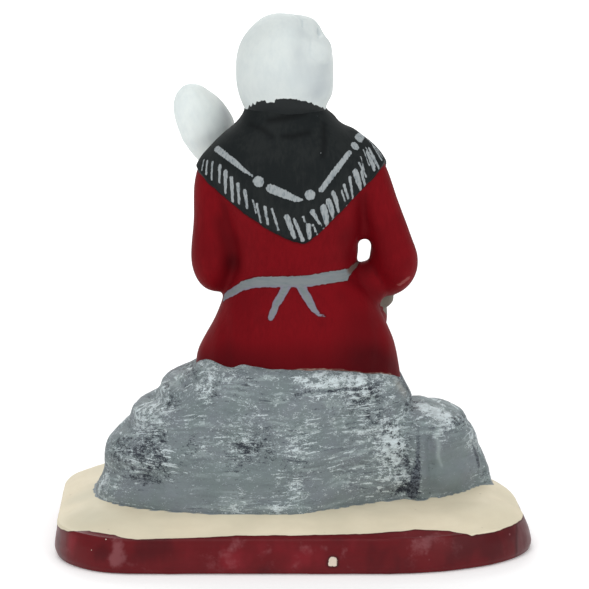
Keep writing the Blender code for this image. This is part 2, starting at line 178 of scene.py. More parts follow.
class Mould:
    """Places the grids of the figure, of its head and of the rock in the part's frame."""

    def __init__(self, s):
        self.half_width, self.half_depth = s.base_width / 2, s.base_depth / 2
        self.band, self.crown = s.band_height, s.crown_rise
        self.seat = s.seat_height
        self.unit = s.sitting_height / GRID
        self.line = TOE_REACH * self.unit + TOE_LEDGE - self.half_depth
        self.ground = self.band + self.crown
        self.floor = (self.ground - self.seat) / self.unit
        self.roughness = s.rock_roughness
        self.head_centre = Vector(HEAD_CENTRE)
        tilt = Matrix.Rotation(math.radians(HEAD_TILT), 3, "Y")
        self.head_turn = tilt @ Matrix.Rotation(math.radians(HEAD_NOD), 3, "X")

    def figure(self, x, y, z):
        return Vector((x * self.unit, self.line + y * self.unit, self.seat + z * self.unit))

    def figure_grid(self, points):
        """The columns x, y and z of points, read back on the figure's grid."""
        return np.transpose((np.asarray(points) - np.array(self.figure(0, 0, 0))) / self.unit)

    def head(self, x, y, z):
        return self.figure(*(self.head_centre + self.head_turn @ Vector((x, y, z))))

    def head_grid(self, points):
        """The columns x, y and z of points, read back on the head's grid."""
        away = self.figure_grid(points).T - np.array(self.head_centre)
        return np.transpose(away @ np.array(self.head_turn))

    def rock(self, x, y, z):
        """A point given in shares of the rock's half width, its half depth and its height."""
        back, front = self.half_depth - ROCK_IN_BACK, self.half_depth - ROCK_IN_FRONT
        if y > 0:
            # The back's foot draws in towards the right, and rounds off behind the boulder
            y *= 1 - 0.33 * ease(0.05, -0.42, x) * (1 - min(max(z, 0), 1))
            y *= 1 - 0.85 * ease(-0.63, -0.93, x)
        depth = (back - front) / 2 + y * (back + front) / 2
        height = self.band + z * (self.seat - self.band)
        point = Vector((x * (self.half_width - ROCK_IN_ENDS), depth, height))
        point.y -= BOULDER_FORWARD * ease(-0.84, -1.0, x)
        sink = MIDDLE_SINK * ease(0.25, 0.10, x) + RIGHT_SINK * ease(-0.10, -0.50, x)
        point.z -= sink * ease(0.62, 0.98, z)
        wide = noise.noise(Vector((x * 3.4, y * 1.6, z * 4.9)))
        fine = noise.noise(Vector((x * 9.5 + 7, y * 4.4, z * 12.8)))
        outward = Vector((point.x, point.y * 2, 0)).normalized()
        return point + outward * (wide + fine * 0.5) * self.roughness


def ease(low, high, value):
    """0 below low and 1 above high, with a smooth step between."""
    t = np.clip((value - low) / (high - low), 0, 1)
    return t * t * (3 - 2 * t)


def view_axes():
    """The camera's place, its forward, right and up directions, and the picture's focal length."""
    height = math.radians(VIEW_HEIGHT)
    back = Vector((0, math.cos(height), math.sin(height)))
    up = Vector((0, -math.sin(height), math.cos(height)))
    return VIEW_TARGET + back * VIEW_DISTANCE, -back, Vector((-1, 0, 0)), up


def seen(tree, across, down):
    """The surface point that shows at a place in the picture, or the nearest one further in."""
    eye, ahead, right, up = view_axes()
    focal = VIEW_DISTANCE / VIEW_SPAN * PICTURE
    for inwards in range(0, 40, 2):
        place = across + math.copysign(inwards, PICTURE / 2 - across)
        ray = ahead + right * (place - PICTURE / 2) / focal - up * (down - PICTURE / 2) / focal
        hit = tree.ray_cast(eye, ray.normalized())[0]
        if hit:
            return hit
    raise ValueError(f"nothing is seen near {across}, {down}")


def picture_place(points):
    """How far across and down the picture each point shows."""
    eye, ahead, right, up = view_axes()
    away = points - np.array(eye)
    scale = VIEW_DISTANCE / VIEW_SPAN * PICTURE / (away @ np.array(ahead))
    return PICTURE / 2 + away @ np.array(right) * scale, PICTURE / 2 - away @ np.array(up) * scale


def seen_path(tree, places, fuller=1.0, spacing=7.0):
    """Surface points along a line in the picture, through places of across, down and radius."""
    path = []
    for (x0, y0, r0), (x1, y1, r1) in zip(places, places[1:]):
        count = max(1, round(math.hypot(x1 - x0, y1 - y0) / spacing))
        for i in range(count):
            t = i / count
            path.append((x0 + (x1 - x0) * t, y0 + (y1 - y0) * t, r0 + (r1 - r0) * t))
    path.append(places[-1])
    return [(seen(tree, x, y), r * PIXEL / NEARER * fuller) for x, y, r in path]


# Meshes


def smooth_through(rows, steps=4):
    """Rows read from a Catmull-Rom curve through the given rows."""
    given = np.array(rows, float)
    given = np.vstack([2 * given[0] - given[1], given, 2 * given[-1] - given[-2]])
    t = np.linspace(0, 1, steps, endpoint=False)[:, None]
    found = []
    for a, b, c, d in zip(given, given[1:], given[2:], given[3:]):
        curve = 2 * b + (c - a) * t + (2 * a - 5 * b + 4 * c - d) * t**2
        found.append((curve + (3 * b - a - 3 * c + d) * t**3) / 2)
    return np.vstack([*found, given[-2:-1]])


def skin(bm, rings):
    """A closed skin over rings of equally many points."""
    rows = [[bm.verts.new(point) for point in ring] for ring in rings]
    for lower, upper in zip(rows, rows[1:]):
        for i in range(len(lower)):
            bm.faces.new((lower[i - 1], lower[i], upper[i], upper[i - 1]))
    bm.faces.new(rows[0][::-1])
    bm.faces.new(rows[-1])


def limb(bm, stations, place, sides=40, steps=8, tips=(80, 66, 50, 34, 17)):
    """A round-ended limb through stations of x, y, z, sideways radius and other radius."""
    rows = smooth_through(stations, steps)
    ways = np.gradient(rows[:, :3], axis=0)
    ways /= np.linalg.norm(ways, axis=1)[:, None]
    rings = []

    def add_ring(row, way, shift, share):
        along = Vector(way)
        sideways = Vector((1, 0, 0)) if abs(along.x) < 0.85 else Vector((0, 1, 0))
        sideways = (sideways - along * sideways.dot(along)).normalized()
        other = along.cross(sideways)
        centre = Vector(row[:3]) + along * shift
        ring = []
        for i in range(sides):
            angle = math.tau * i / sides
            wide = sideways * row[3] * share * math.cos(angle)
            deep = other * row[4] * share * math.sin(angle)
            ring.append(place(*(centre + wide + deep)))
        rings.append(ring)

    tips = [math.radians(a) for a in tips]
    for tip in tips:
        add_ring(rows[0], ways[0], -rows[0][3:].mean() * math.sin(tip), math.cos(tip))
    for row, way in zip(rows, ways):
        add_ring(row, way, 0, 1)
    for tip in reversed(tips):
        add_ring(rows[-1], ways[-1], rows[-1][3:].mean() * math.sin(tip), math.cos(tip))
    skin(bm, rings)


def stack(bm, levels, place, sides=120, steps=6, squareness=2.2, folds=None):
    """A loft of level rings through levels of z, x, y, half width and half depth."""
    rings = []
    for z, x, y, a, b in smooth_through(levels, steps):
        ring = []
        for i in range(sides):
            angle = math.tau * i / sides
            c, s = math.cos(angle), math.sin(angle)
            wave = folds(angle, z) if folds else 0
            across = math.copysign(abs(c) ** (2 / squareness), c) * (a + wave)
            deep = math.copysign(abs(s) ** (2 / squareness), s) * (b + wave)
            ring.append(place(x + across, y + deep, z))
        rings.append(ring)
    skin(bm, rings)


def egg(bm, centre, radii, place, turn=None, detail=5):
    """An ellipsoid, turned about its centre by a rotation matrix where one is given."""
    made = bmesh.ops.create_icosphere(bm, subdivisions=detail, radius=1)
    turn = turn or Matrix.Identity(3)
    for vert in made["verts"]:
        spread = Vector(c * r for c, r in zip(vert.co, radii))
        vert.co = place(*(Vector(centre) + turn @ spread))


def formed(mould, makers):
    """A bmesh of several forms, one inside another."""
    bm = bmesh.new()
    for make in makers:
        make(bm, mould)
    bmesh.ops.recalc_face_normals(bm, faces=bm.faces)
    return bm


def mesh_from(name, bm):
    """A new mesh from a bmesh, which is used up."""
    mesh = bpy.data.meshes.new(name)
    bm.to_mesh(mesh)
    bm.free()
    return mesh


def tree_from(bm):
    """A bmesh, which is used up, as a surface to look for points on."""
    tree = BVHTree.FromBMesh(bm)
    bm.free()
    return tree


def placed(name, data, location=(0, 0, 0), facing=None):
    """A new object in the scene, turned to look along a direction where one is given."""
    made = bpy.data.objects.new(name, data)
    made.location = location
    if facing is not None:
        made.rotation_euler = facing.to_track_quat("-Z", "Y").to_euler()
    bpy.context.scene.collection.objects.link(made)
    return made


def fused(name, mould, makers, grain, passes):
    """One closed mesh of several forms, by a voxel remesh that is then softened."""
    bm = formed(mould, makers)
    rough = mesh_from(name, bm)
    clay = placed(name, rough)
    remesh = clay.modifiers.new("fuse", "REMESH")
    remesh.mode = "VOXEL"
    remesh.voxel_size = grain
    soften = clay.modifiers.new("soften", "SMOOTH")
    soften.factor = 0.5
    soften.iterations = passes
    graph = bpy.context.evaluated_depsgraph_get()
    mesh = bpy.data.meshes.new_from_object(clay.evaluated_get(graph))
    bpy.data.objects.remove(clay)
    bpy.data.meshes.remove(rough)
    mesh.name = name
    return mesh


def surface_tree(mesh):
    bm = bmesh.new()
    bm.from_mesh(mesh)
    return tree_from(bm)


def rows_of(items, name):
    """A vector of each item as the rows of an array."""
    rows = np.empty(len(items) * 3, np.float32)
    items.foreach_get(name, rows)
    return rows.reshape(-1, 3).astype(float)


def points_of(mesh):
    return rows_of(mesh.vertices, "co")


def normals_of(mesh):
    return rows_of(mesh.vertex_normals, "vector")


def set_points(mesh, points):
    mesh.vertices.foreach_set("co", points.astype(np.float32).ravel())
    mesh.update()


def move_out(mesh, metres):
    """Moves each point of a mesh along its normal."""
    set_points(mesh, points_of(mesh) + normals_of(mesh) * np.asarray(metres)[:, None])


def softened(mesh, points, passes):
    """The points after some passes of averaging with their neighbours."""
    edges = np.empty(len(mesh.edges) * 2, np.int32)
    mesh.edges.foreach_get("vertices", edges)
    a, b = edges.reshape(-1, 2).T
    at, other = np.concatenate([a, b]), np.concatenate([b, a])
    count = np.maximum(np.bincount(at, minlength=len(points)), 1)[:, None]
    for _ in range(passes):
        sums = [np.bincount(at, weights=column[other], minlength=len(points)) for column in points.T]
        points = (points + np.transpose(sums) / count) / 2
    return points


def keep(mesh, **maps):
    """Keeps named values for the points of a mesh, for its material to read."""
    for name, values in maps.items():
        layer = mesh.attributes.new(name, "FLOAT", "POINT")
        layer.data.foreach_set("value", np.full(len(mesh.vertices), values, np.float32))


def keep_relief(mesh, passes=24):
    """Keeps how far each point stands above or below its surroundings, in mm."""
    points = points_of(mesh)
    out = ((points - softened(mesh, points, passes)) * normals_of(mesh)).sum(1)
    keep(mesh, relief=out / MM)


def stroke_gap(points, strokes):
    """Distance in mm from points to the nearest edge of some brush strokes, below 0 inside them."""
    nearest = np.full(len(points), UNPAINTED)
    for stroke in strokes:
        middle = np.mean([np.array(p) for p, _ in stroke], axis=0)
        reach = max((p - Vector(middle)).length for p, _ in stroke) + UNPAINTED * MM
        near = np.flatnonzero(np.linalg.norm(points - middle, axis=1) < reach)
        here = points[near]
        if len(stroke) == 1:
            stroke = stroke * 2
        for (start, r0), (end, r1) in zip(stroke, stroke[1:]):
            start, along = np.array(start), np.array(end - start)
            share = np.clip((here - start) @ along / max(along @ along, 1e-12), 0, 1)
            gap = np.linalg.norm(here - start - share[:, None] * along, axis=1) / MM
            nearest[near] = np.minimum(nearest[near], gap - (r0 + (r1 - r0) * share))
    return nearest


def seen_gap(tree, points, rows):
    """Distance in mm from points to brush strokes given by their places in the picture."""
    return stroke_gap(points, [seen_path(tree, row) for row in rows])


def soft_spots(tree, points, spots):
    """The strength at each point of soft round spots, given by their places in the picture."""
    total = np.zeros(len(points))
    for across, down, radius, strength in spots:
        gap = np.linalg.norm(points - np.array(seen(tree, across, down)), axis=1) / MM
        total += strength * np.exp(-((gap / radius) ** 2))
    return total


def gap_to(tree, points, reach):
    """Distance in mm from each point to a surface, up to a reach in mm."""
    gaps = np.full(len(points), float(reach))
    for i, point in enumerate(points):
        found = tree.find_nearest(point, reach * MM)[3]
        if found is not None:
            gaps[i] = found / MM
    return gaps


def noise_at(points, scale, seed=0.0, stretch=(1, 1, 1)):
    """Smooth noise at each point, from -1 to 1, with lumps of about scale mm."""
    rows = points / MM / scale * np.array(stretch) + seed
    return np.array([noise.noise(row) for row in rows])


def show(mesh, material):
    """Makes a mesh a piece of the figurine, in the casting's place and paint."""
    mesh.materials.clear()
    mesh.materials.append(material)
    mesh.shade_smooth()
    piece = placed(mesh.name, mesh)
    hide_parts(CAST)
    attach(piece, "root")
    return piece


# Forms of the base and the rock


def base_outline(mould, inset, count=96):
    """Points round the base, by corner arcs, anticlockwise from above, and in by inset."""
    half_x, half_y = mould.half_width - inset, mould.half_depth - inset
    widest = mould.half_depth - END_WIDEST
    # Signs of X and Y, and the radii along them
    corners = (
        (1, 1, 0.0115, 0.0115), (-1, 1, 0.022, 0.0148), (-1, -1, 0.022, 0.022), (1, -1, 0.015, 0.015)
    )
    points = []
    for quarter, (sx, sy, wide, deep) in enumerate(corners):
        rx, ry = (max(radius - inset, radius * 0.1) for radius in (wide, deep))
        for i in range(count // 4):
            a = math.radians(90) * (quarter + i / (count // 4 - 1))
            x = sx * (half_x - rx) + rx * math.cos(a)
            y = sy * (half_y - ry) + ry * math.sin(a)
            if sx < 0:
                # The right end is longest near the back and leans in towards the front
                x += END_SLANT * (max(widest - y, 0) / (widest + mould.half_depth)) ** 1.3
            points.append(Vector((x, y, 0)))
    return points


def leaning(mould, point, z):
    """A point of the base at a height: the right end leans in, and the left one is fuller above."""
    end = ease(-0.72, -1.0, point.x / mould.half_width)
    lean = END_LEAN * end * ease(0.016, 0.004, point.y) * z / mould.ground
    fuller = ease(0.80, 0.97, point.x / mould.half_width) * ease(0.6, 1.0, z / mould.band)
    return Vector((point.x + lean + END_FULLER * fuller, point.y, z))


def base_mesh(mould, spacing=0.00030):
    """The base: an upright edge, rounded over into ground that swells towards the rock."""
    draft, rounding = 0.0006, 0.0009
    band, crown = mould.band, mould.crown
    profile = [
        (draft * 1.6, 0),
        (draft * 0.75, 0.0001),
        (draft * 0.4, band * 0.08),
        (0, band * 0.24),
        (draft * 0.4, band * 0.6),
        (draft, band - rounding),
        (draft + rounding * 0.3, band - rounding * 0.3),
        (draft + rounding, band),
        (draft + rounding * 3.5, band + crown * 0.6),
        (draft + rounding * 7, band + crown),
        (draft + rounding * 14, band + crown),
    ]
    rows = smooth_through(profile, 7)
    outer = base_outline(mould, 0)
    parts = [max(1, round((b - a).length / spacing)) for a, b in zip(outer, outer[1:] + outer[:1])]
    rings = []
    for inset, z in rows:
        corners = base_outline(mould, inset)
        ring = []
        for a, b, count in zip(corners, corners[1:] + corners[:1], parts):
            ring += [leaning(mould, a.lerp(b, i / count), z) for i in range(count)]
        rings.append(ring)
    bm = bmesh.new()
    skin(bm, rings)
    bmesh.ops.triangulate(bm, faces=[f for f in bm.faces if len(f.verts) > 4])
    bmesh.ops.recalc_face_normals(bm, faces=bm.faces)
    climb = np.concatenate([[0], np.cumsum(np.linalg.norm(np.diff(rows, axis=0), axis=1))])
    return mesh_from("base", bm), np.repeat(climb, len(rings[0])) / MM


def rock_form(bm, mould):
    """The rock: a broad block in ledges, a rounded boulder at its right end and the cleft between."""
    # Height, left end, right end, back, front
    ledges = (
        (-0.1, 1.005, -0.655, 1.0, -1.0), (0.05, 1.004, -0.655, 1.0, -1.0),
        (0.115, 1.0, -0.655, 0.985, -1.0), (0.17, 0.978, -0.655, 0.965, -0.995),
        (0.24, 0.957, -0.655, 0.945, -0.99), (0.34, 0.952, -0.655, 0.92, -0.98),
        (0.41, 0.938, -0.655, 0.905, -0.96), (0.47, 0.893, -0.65, 0.89, -0.94),
        (0.53, 0.846, -0.635, 0.875, -0.925), (0.59, 0.822, -0.61, 0.865, -0.905),
        (0.645, 0.81, -0.597, 0.85, -0.89), (0.68, 0.77, -0.592, 0.84, -0.885),
        (0.715, 0.712, -0.596, 0.83, -0.875), (0.76, 0.682, -0.588, 0.82, -0.865),
        (0.83, 0.652, -0.576, 0.8, -0.84), (0.9, 0.548, -0.552, 0.78, -0.82),
        (0.965, 0.455, -0.525, 0.75, -0.78), (1.01, 0.41, -0.49, 0.68, -0.7),
        (1.03, 0.33, -0.37, 0.5, -0.5),
    )
    levels = [
        (z, (left + right) / 2, (back + front) / 2, (left - right) / 2, (back - front) / 2)
        for z, left, right, back, front in ledges
    ]
    stack(bm, levels, mould.rock, squareness=2.6)
    boulder = (
        (-0.1, -0.818, -0.15, 0.186, 0.86), (0.11, -0.813, -0.15, 0.184, 0.85),
        (0.25, -0.794, -0.15, 0.158, 0.82), (0.37, -0.783, -0.15, 0.152, 0.79),
        (0.47, -0.762, -0.14, 0.134, 0.74), (0.54, -0.74, -0.13, 0.12, 0.69),
        (0.58, -0.702, -0.11, 0.104, 0.6), (0.602, -0.672, -0.1, 0.082, 0.48),
        (0.616, -0.655, -0.08, 0.06, 0.3),
    )
    stack(bm, boulder, mould.rock, sides=80, squareness=2.6)
    between = (
        (-0.1, -0.61, -0.12, 0.105, 0.84), (0.2, -0.61, -0.12, 0.1, 0.79),
        (0.4, -0.612, -0.12, 0.09, 0.73), (0.54, -0.612, -0.11, 0.08, 0.66),
        (0.6, -0.622, -0.1, 0.086, 0.56), (0.628, -0.618, -0.09, 0.072, 0.44),
        (0.642, -0.612, -0.08, 0.044, 0.3),
    )
    stack(bm, between, mould.rock, sides=60, squareness=2.6)
    egg(bm, (0.365, 0.20, 0.80), (0.17, 0.46, 0.24), mould.rock)


# Forms of the clothes


def dress_form(bm, mould):
    """Bodice, hips, thighs under the skirt, and the skirt falling from the knees to the ground."""
    place, floor = mould.figure, mould.floor
    bodice = (
        (-4.0, -0.55, 1.5, 14.6, 8.6), (0.0, -0.35, 1.5, 14.15, 9.0),
        (2.3, -0.55, 1.4, 13.35, 8.9), (5.2, -0.7, 1.2, 11.9, 8.4), (8.8, -0.5, 0.8, 10.3, 7.2),
        (11.9, 0.0, 0.6, 8.8, 6.0), (14.5, 0.1, 0.5, 8.6, 6.2), (18.0, 0.0, 0.6, 9.7, 6.7),
        (22.0, 0.3, 0.7, 10.4, 7.2), (26.0, 0.5, 0.8, 12.0, 7.2), (27.8, 0.5, 0.8, 11.9, 7.0),
        (29.4, 0.5, 0.8, 11.0, 6.7), (31.0, 0.6, 0.7, 9.3, 6.2), (32.6, 0.9, 0.5, 7.1, 5.7),
        (34.2, 1.2, 0.3, 5.6, 5.2), (36.5, 1.4, 0.0, 5.0, 4.6),
    )
    stack(bm, bodice, place)
    thighs = (
        ((4.2, 0.0, 1.2, 5.6, 5.2), (5.4, -5.0, 3.4, 4.9, 5.0), (5.9, -12.0, 3.8, 4.2, 4.8)),
        ((-5.4, 0.0, 1.6, 6.0, 5.4), (-7.2, -5.0, 3.6, 6.0, 5.2), (-7.9, -12.0, 3.9, 5.4, 4.9)),
    )
    for thigh in thighs:
        limb(bm, thigh, place)
        knee, _, _, width, depth = thigh[-1]
        shin = (
            (knee, -12.2, 3.2, width, depth),
            (knee * 0.98, -12.8, floor * 0.45, 4.8, 4.6),
            (knee * 0.96, -13.2, floor + 4.5, 4.8, 4.8),
        )
        limb(bm, shin, place)
    lap = (
        (-3.0, -1.0, -7.0, 9.0, 9.6), (4.0, -1.2, -6.8, 9.0, 9.6), (6.9, -1.4, -6.2, 7.8, 8.6),
        (7.5, -1.5, -5.7, 5.6, 6.3),
    )
    stack(bm, lap, place)
    # Cloth between arms and body, round the opening at the right elbow
    for centre, radii in (
        ((-12.1, -4.0, 6.8), (2.1, 3.0, 1.4)), ((-9.9, 0.8, 18.5), (1.6, 1.9, 2.1)),
        ((-10.3, 0.2, 9.8), (2.9, 2.6, 3.4)), ((-11.85, 0.5, 14.0), (1.3, 2.0, 2.4)),
        ((-8.0, 0.5, 15.0), (1.0, 2.0, 2.6)), ((9.3, 0.6, 18.0), (1.7, 3.0, 8.0)),
        ((-10.1, 0.6, 23.0), (1.6, 2.9, 4.5)),
    ):
        egg(bm, centre, radii, place)
    fall = (
        (floor * 1.04, -0.6, -11.7, 11.4, 5.8),
        (floor * 0.94, -0.6, -11.8, 12.6, 6.7),
        (floor * 0.79, -0.6, -11.8, 12.5, 6.7),
        (floor * 0.40, -0.7, -11.6, 12.0, 6.4),
        (floor * 0.05, -1.0, -11.2, 11.7, 6.4),
        (3.0, -1.3, -10.6, 10.9, 6.4), (5.6, -1.6, -11.0, 9.4, 5.0), (6.9, -1.8, -11.5, 8.0, 3.4),
    )

    def folds(angle, z):
        depth = 0.55 * ease(0, 1, (4 - z) / (4 - floor))
        return depth * (math.cos(angle * 9 + 0.7) + 0.5 * math.cos(angle * 14 + 2))

    stack(bm, fall, place, sides=180, folds=folds)


def sleeve_form(bm, mould):
    """Both sleeves, from the shoulder over the elbow to the wrist."""
    left = (
        (7.6, 0.5, 29.0, 2.6, 3.4), (10.4, 0.7, 25.4, 3.4, 3.6), (11.3, 0.8, 19.0, 2.9, 3.4),
        (11.5, 0.7, 13.7, 3.1, 3.5), (10.8, -0.9, 11.4, 2.9, 2.9), (10.5, -4.4, 13.6, 2.6, 2.6),
        (9.3, -7.6, 17.6, 1.9, 1.9),
    )
    right = (
        (-6.9, 0.5, 29.4, 2.7, 3.4), (-9.7, 0.7, 26.4, 3.0, 3.5), (-12.0, 0.9, 20.8, 2.8, 3.3),
        (-13.6, 1.0, 16.2, 2.9, 3.3), (-14.2, 0.4, 12.8, 3.25, 3.3),
        (-12.6, -2.6, 10.0, 3.05, 2.7), (-9.4, -8.2, 8.6, 2.1, 2.0), (-7.4, -10.9, 8.9, 1.9, 1.8),
    )
    limb(bm, left, mould.figure)
    limb(bm, right, mould.figure)


def collar_form(bm, mould):
    """The soft roll where the shawl crosses below the chin."""
    roll = []
    for i in range(25):
        angle = math.radians(200) + math.radians(140) * i / 24
        fall = max(0, -math.sin(angle))
        centre = (0.9 + 5.6 * math.cos(angle), 0.6 + 5.3 * math.sin(angle), 33.2 - 3.4 * fall**2)
        roll.append((*centre, 1.3, 1.3))
    limb(bm, roll, mould.figure, sides=20, steps=2)


def shoe_form(bm, mould):
    """The toes of both shoes, out from under the hem."""
    for side in (1, -1):
        egg(bm, (side * 5.0, -17.9, mould.floor + 0.9), (2.1, 3.1, 1.7), mould.figure)


# Forms of the head


def face_form(bm, mould):
    """A calm, plain face on usual proportions: eyes halfway, nose and mouth by thirds."""
    place = mould.head
    skull = 3.0
    # Height, half width and reach forward, from under the chin to the forehead
    levels = (
        (-6.75, 0.9, 4.6), (-6.45, 1.7, 5.5), (-5.9, 2.35, 6.1), (-5.2, 3.0, 6.15),
        (-4.3, 3.6, 6.4), (-3.1, 4.15, 6.4), (-1.8, 4.6, 6.3), (-0.4, 4.8, 6.2), (0.6, 4.85, 6.5),
        (1.8, 4.8, 6.6), (3.2, 4.45, 6.3), (4.6, 3.6, 5.4), (5.4, 2.6, 4.3),
    )
    rows = [(z, 0, (skull - front) / 2, wide, (skull + front) / 2) for z, wide, front in levels]
    stack(bm, rows, place, squareness=2.25)
    nose = ((0, -6.0, 0.6, 0.42, 0.42), (0, -6.65, -0.9, 0.45, 0.5), (0, -7.1, -2.2, 0.64, 0.6))
    limb(bm, nose, place, sides=20)
    for side in (1, -1):
        egg(bm, (side * 2.0, -5.75, 0.85), (1.5, 0.6, 0.4), place)
        egg(bm, (side * 1.98, -5.5, -0.47), (0.85, 0.72, 0.52), place)
        egg(bm, (side * 2.35, -4.7, -2.3), (1.5, 1.25, 1.35), place)
        egg(bm, (side * 0.58, -6.7, -2.6), (0.4, 0.5, 0.34), place, detail=4)
    egg(bm, (0, -5.95, -4.05), (1.15, 0.62, 0.3), place)
    egg(bm, (0, -5.93, -4.58), (0.95, 0.62, 0.34), place)
    egg(bm, (0, -5.3, -5.85), (1.15, 0.9, 0.8), place)


def bonnet_form(bm, mould):
    """The bonnet: a full crown, a gathered lobe and a rolled edge round the face."""
    place = mould.head
    crown = (
        (-8.0, -0.5, 0.0, 3.8, 3.4), (-7.2, -0.5, 0.2, 4.9, 4.4), (-5.9, -0.45, 0.5, 5.75, 5.2),
        (-5.0, -0.3, 0.6, 6.1, 5.6), (-3.6, -0.35, 0.8, 6.65, 6.1),
        (-2.1, -0.25, 0.9, 6.85, 6.35), (-0.7, -0.15, 0.9, 6.85, 6.5), (0.7, -0.1, 0.9, 6.8, 6.5),
        (2.2, -0.1, 0.9, 6.55, 6.3), (3.6, -0.1, 0.9, 6.0, 5.9), (5.0, -0.1, 0.9, 5.05, 5.1),
        (6.0, -0.25, 0.9, 4.25, 4.2), (6.8, -0.35, 0.9, 3.2, 3.0), (7.25, -0.35, 0.9, 1.8, 1.6),
    )
    stack(bm, crown, place, squareness=2.05)
    egg(bm, (-4.1, 2.9, 2.2), (2.5, 3.45, 2.9), place)
    edge = []
    for i in range(41):
        angle = math.radians(-62) + math.radians(304) * i / 40
        ruffle = 0.22 * math.cos(i * 2.4)
        x, y = 5.5 * math.cos(angle), -3.8 - ruffle - 0.9 * max(0, -math.sin(angle))
        z = 0.2 + (5.35 if angle > 0 else 6.25) * math.sin(angle)
        edge.append((x, y, z, 0.95 + ruffle * 0.4, 0.95 + ruffle * 0.4))
    limb(bm, edge, place, sides=24, steps=4)


# Forms of the hands and their tools


DISTAFF_FOOT = Vector((3.9, -7.9, 8.6))
DISTAFF_TOP = Vector((14.9, -8.6, 36.8))
SPINDLE_FOOT = Vector((-9.2, -13.6, 9.2))
SPINDLE_TOP = Vector((1.0, -12.6, 11.0))


def hand_form(bm, grasp, along, palm, place):
    """A closed hand round a stick at grasp, with its palm on the given side."""
    along = along.normalized()
    palm = (palm - along * palm.dot(along)).normalized()
    across = along.cross(palm)
    turn = Matrix((along, palm, across)).transposed()
    egg(bm, grasp + palm * 1.45, (2.2, 1.3, 1.7), place, turn)
    reach = 1.5

    def curl(turns, slide, climb, radius):
        """A finger bent round the stick, slid along it and climbing with its turn."""
        finger = []
        for degrees in turns:
            bend = math.radians(degrees)
            middle = grasp + along * (slide + climb * degrees)
            tip = middle + (palm * math.cos(bend) + across * math.sin(bend)) * reach
            finger.append((*tip, radius, radius))
        limb(bm, finger, place, sides=16, steps=3)

    for i in range(4):
        curl(range(50, 281, 23), (i - 1.5) * 1.02, 0, 0.62)
    curl(range(-30, -151, -20), 1.3, -1 / 90, 0.66)


def hands_form(bm, mould):
    """The left hand on the distaff, the right hand on the spindle."""
    axis = (DISTAFF_TOP - DISTAFF_FOOT).normalized()
    hand_form(bm, DISTAFF_FOOT + axis * 11.8, axis, Vector((0.75, 0.8, -0.5)), mould.figure)
    axis = SPINDLE_TOP - SPINDLE_FOOT
    hand_form(bm, SPINDLE_FOOT + axis * 0.34, axis, Vector((-0.4, 0.9, 0.25)), mould.figure)


def distaff_form(bm, mould):
    """The distaff's stick, from her lap to inside the wool."""
    ends = [DISTAFF_FOOT, DISTAFF_TOP - (DISTAFF_TOP - DISTAFF_FOOT) * 0.3]
    limb(bm, [(*end, 0.8, 0.8) for end in ends], mould.figure, steps=40)


def wool_form(bm, mould):
    """The wool dressed on the distaff, widest above its middle."""
    axis = (DISTAFF_TOP - DISTAFF_FOOT).normalized()
    rows = []
    for share in np.linspace(0.01, 0.995, 24):
        radius = 4.4 * math.sqrt(1 - (2 * share - 1) ** 2) * (0.60 + 0.56 * min(share, 0.52))
        x, y, z = DISTAFF_TOP + axis * 14.4 * (share - 1)
        rows.append((x - 0.1 + 0.6 * ease(0.5, 0.85, share), y, z, radius, radius))
    limb(bm, rows, mould.figure, sides=64, steps=3, tips=())


def spindle_form(bm, mould):
    """The spindle with its wound thread, lying across her lap."""
    axis = SPINDLE_TOP - SPINDLE_FOOT
    limb(bm, [(*SPINDLE_FOOT, 0.65, 0.65), (*SPINDLE_TOP, 0.5, 0.5)], mould.figure, steps=30)
    wound = [
        (*(SPINDLE_FOOT + axis * share), radius, radius)
        for share, radius in ((0.62, 0.7), (0.72, 1.25), (0.80, 1.35), (0.90, 0.7))
    ]
    limb(bm, wound, mould.figure)


# Brushwork, by its places in the view from behind. Strokes: across, down and radius in pixels.

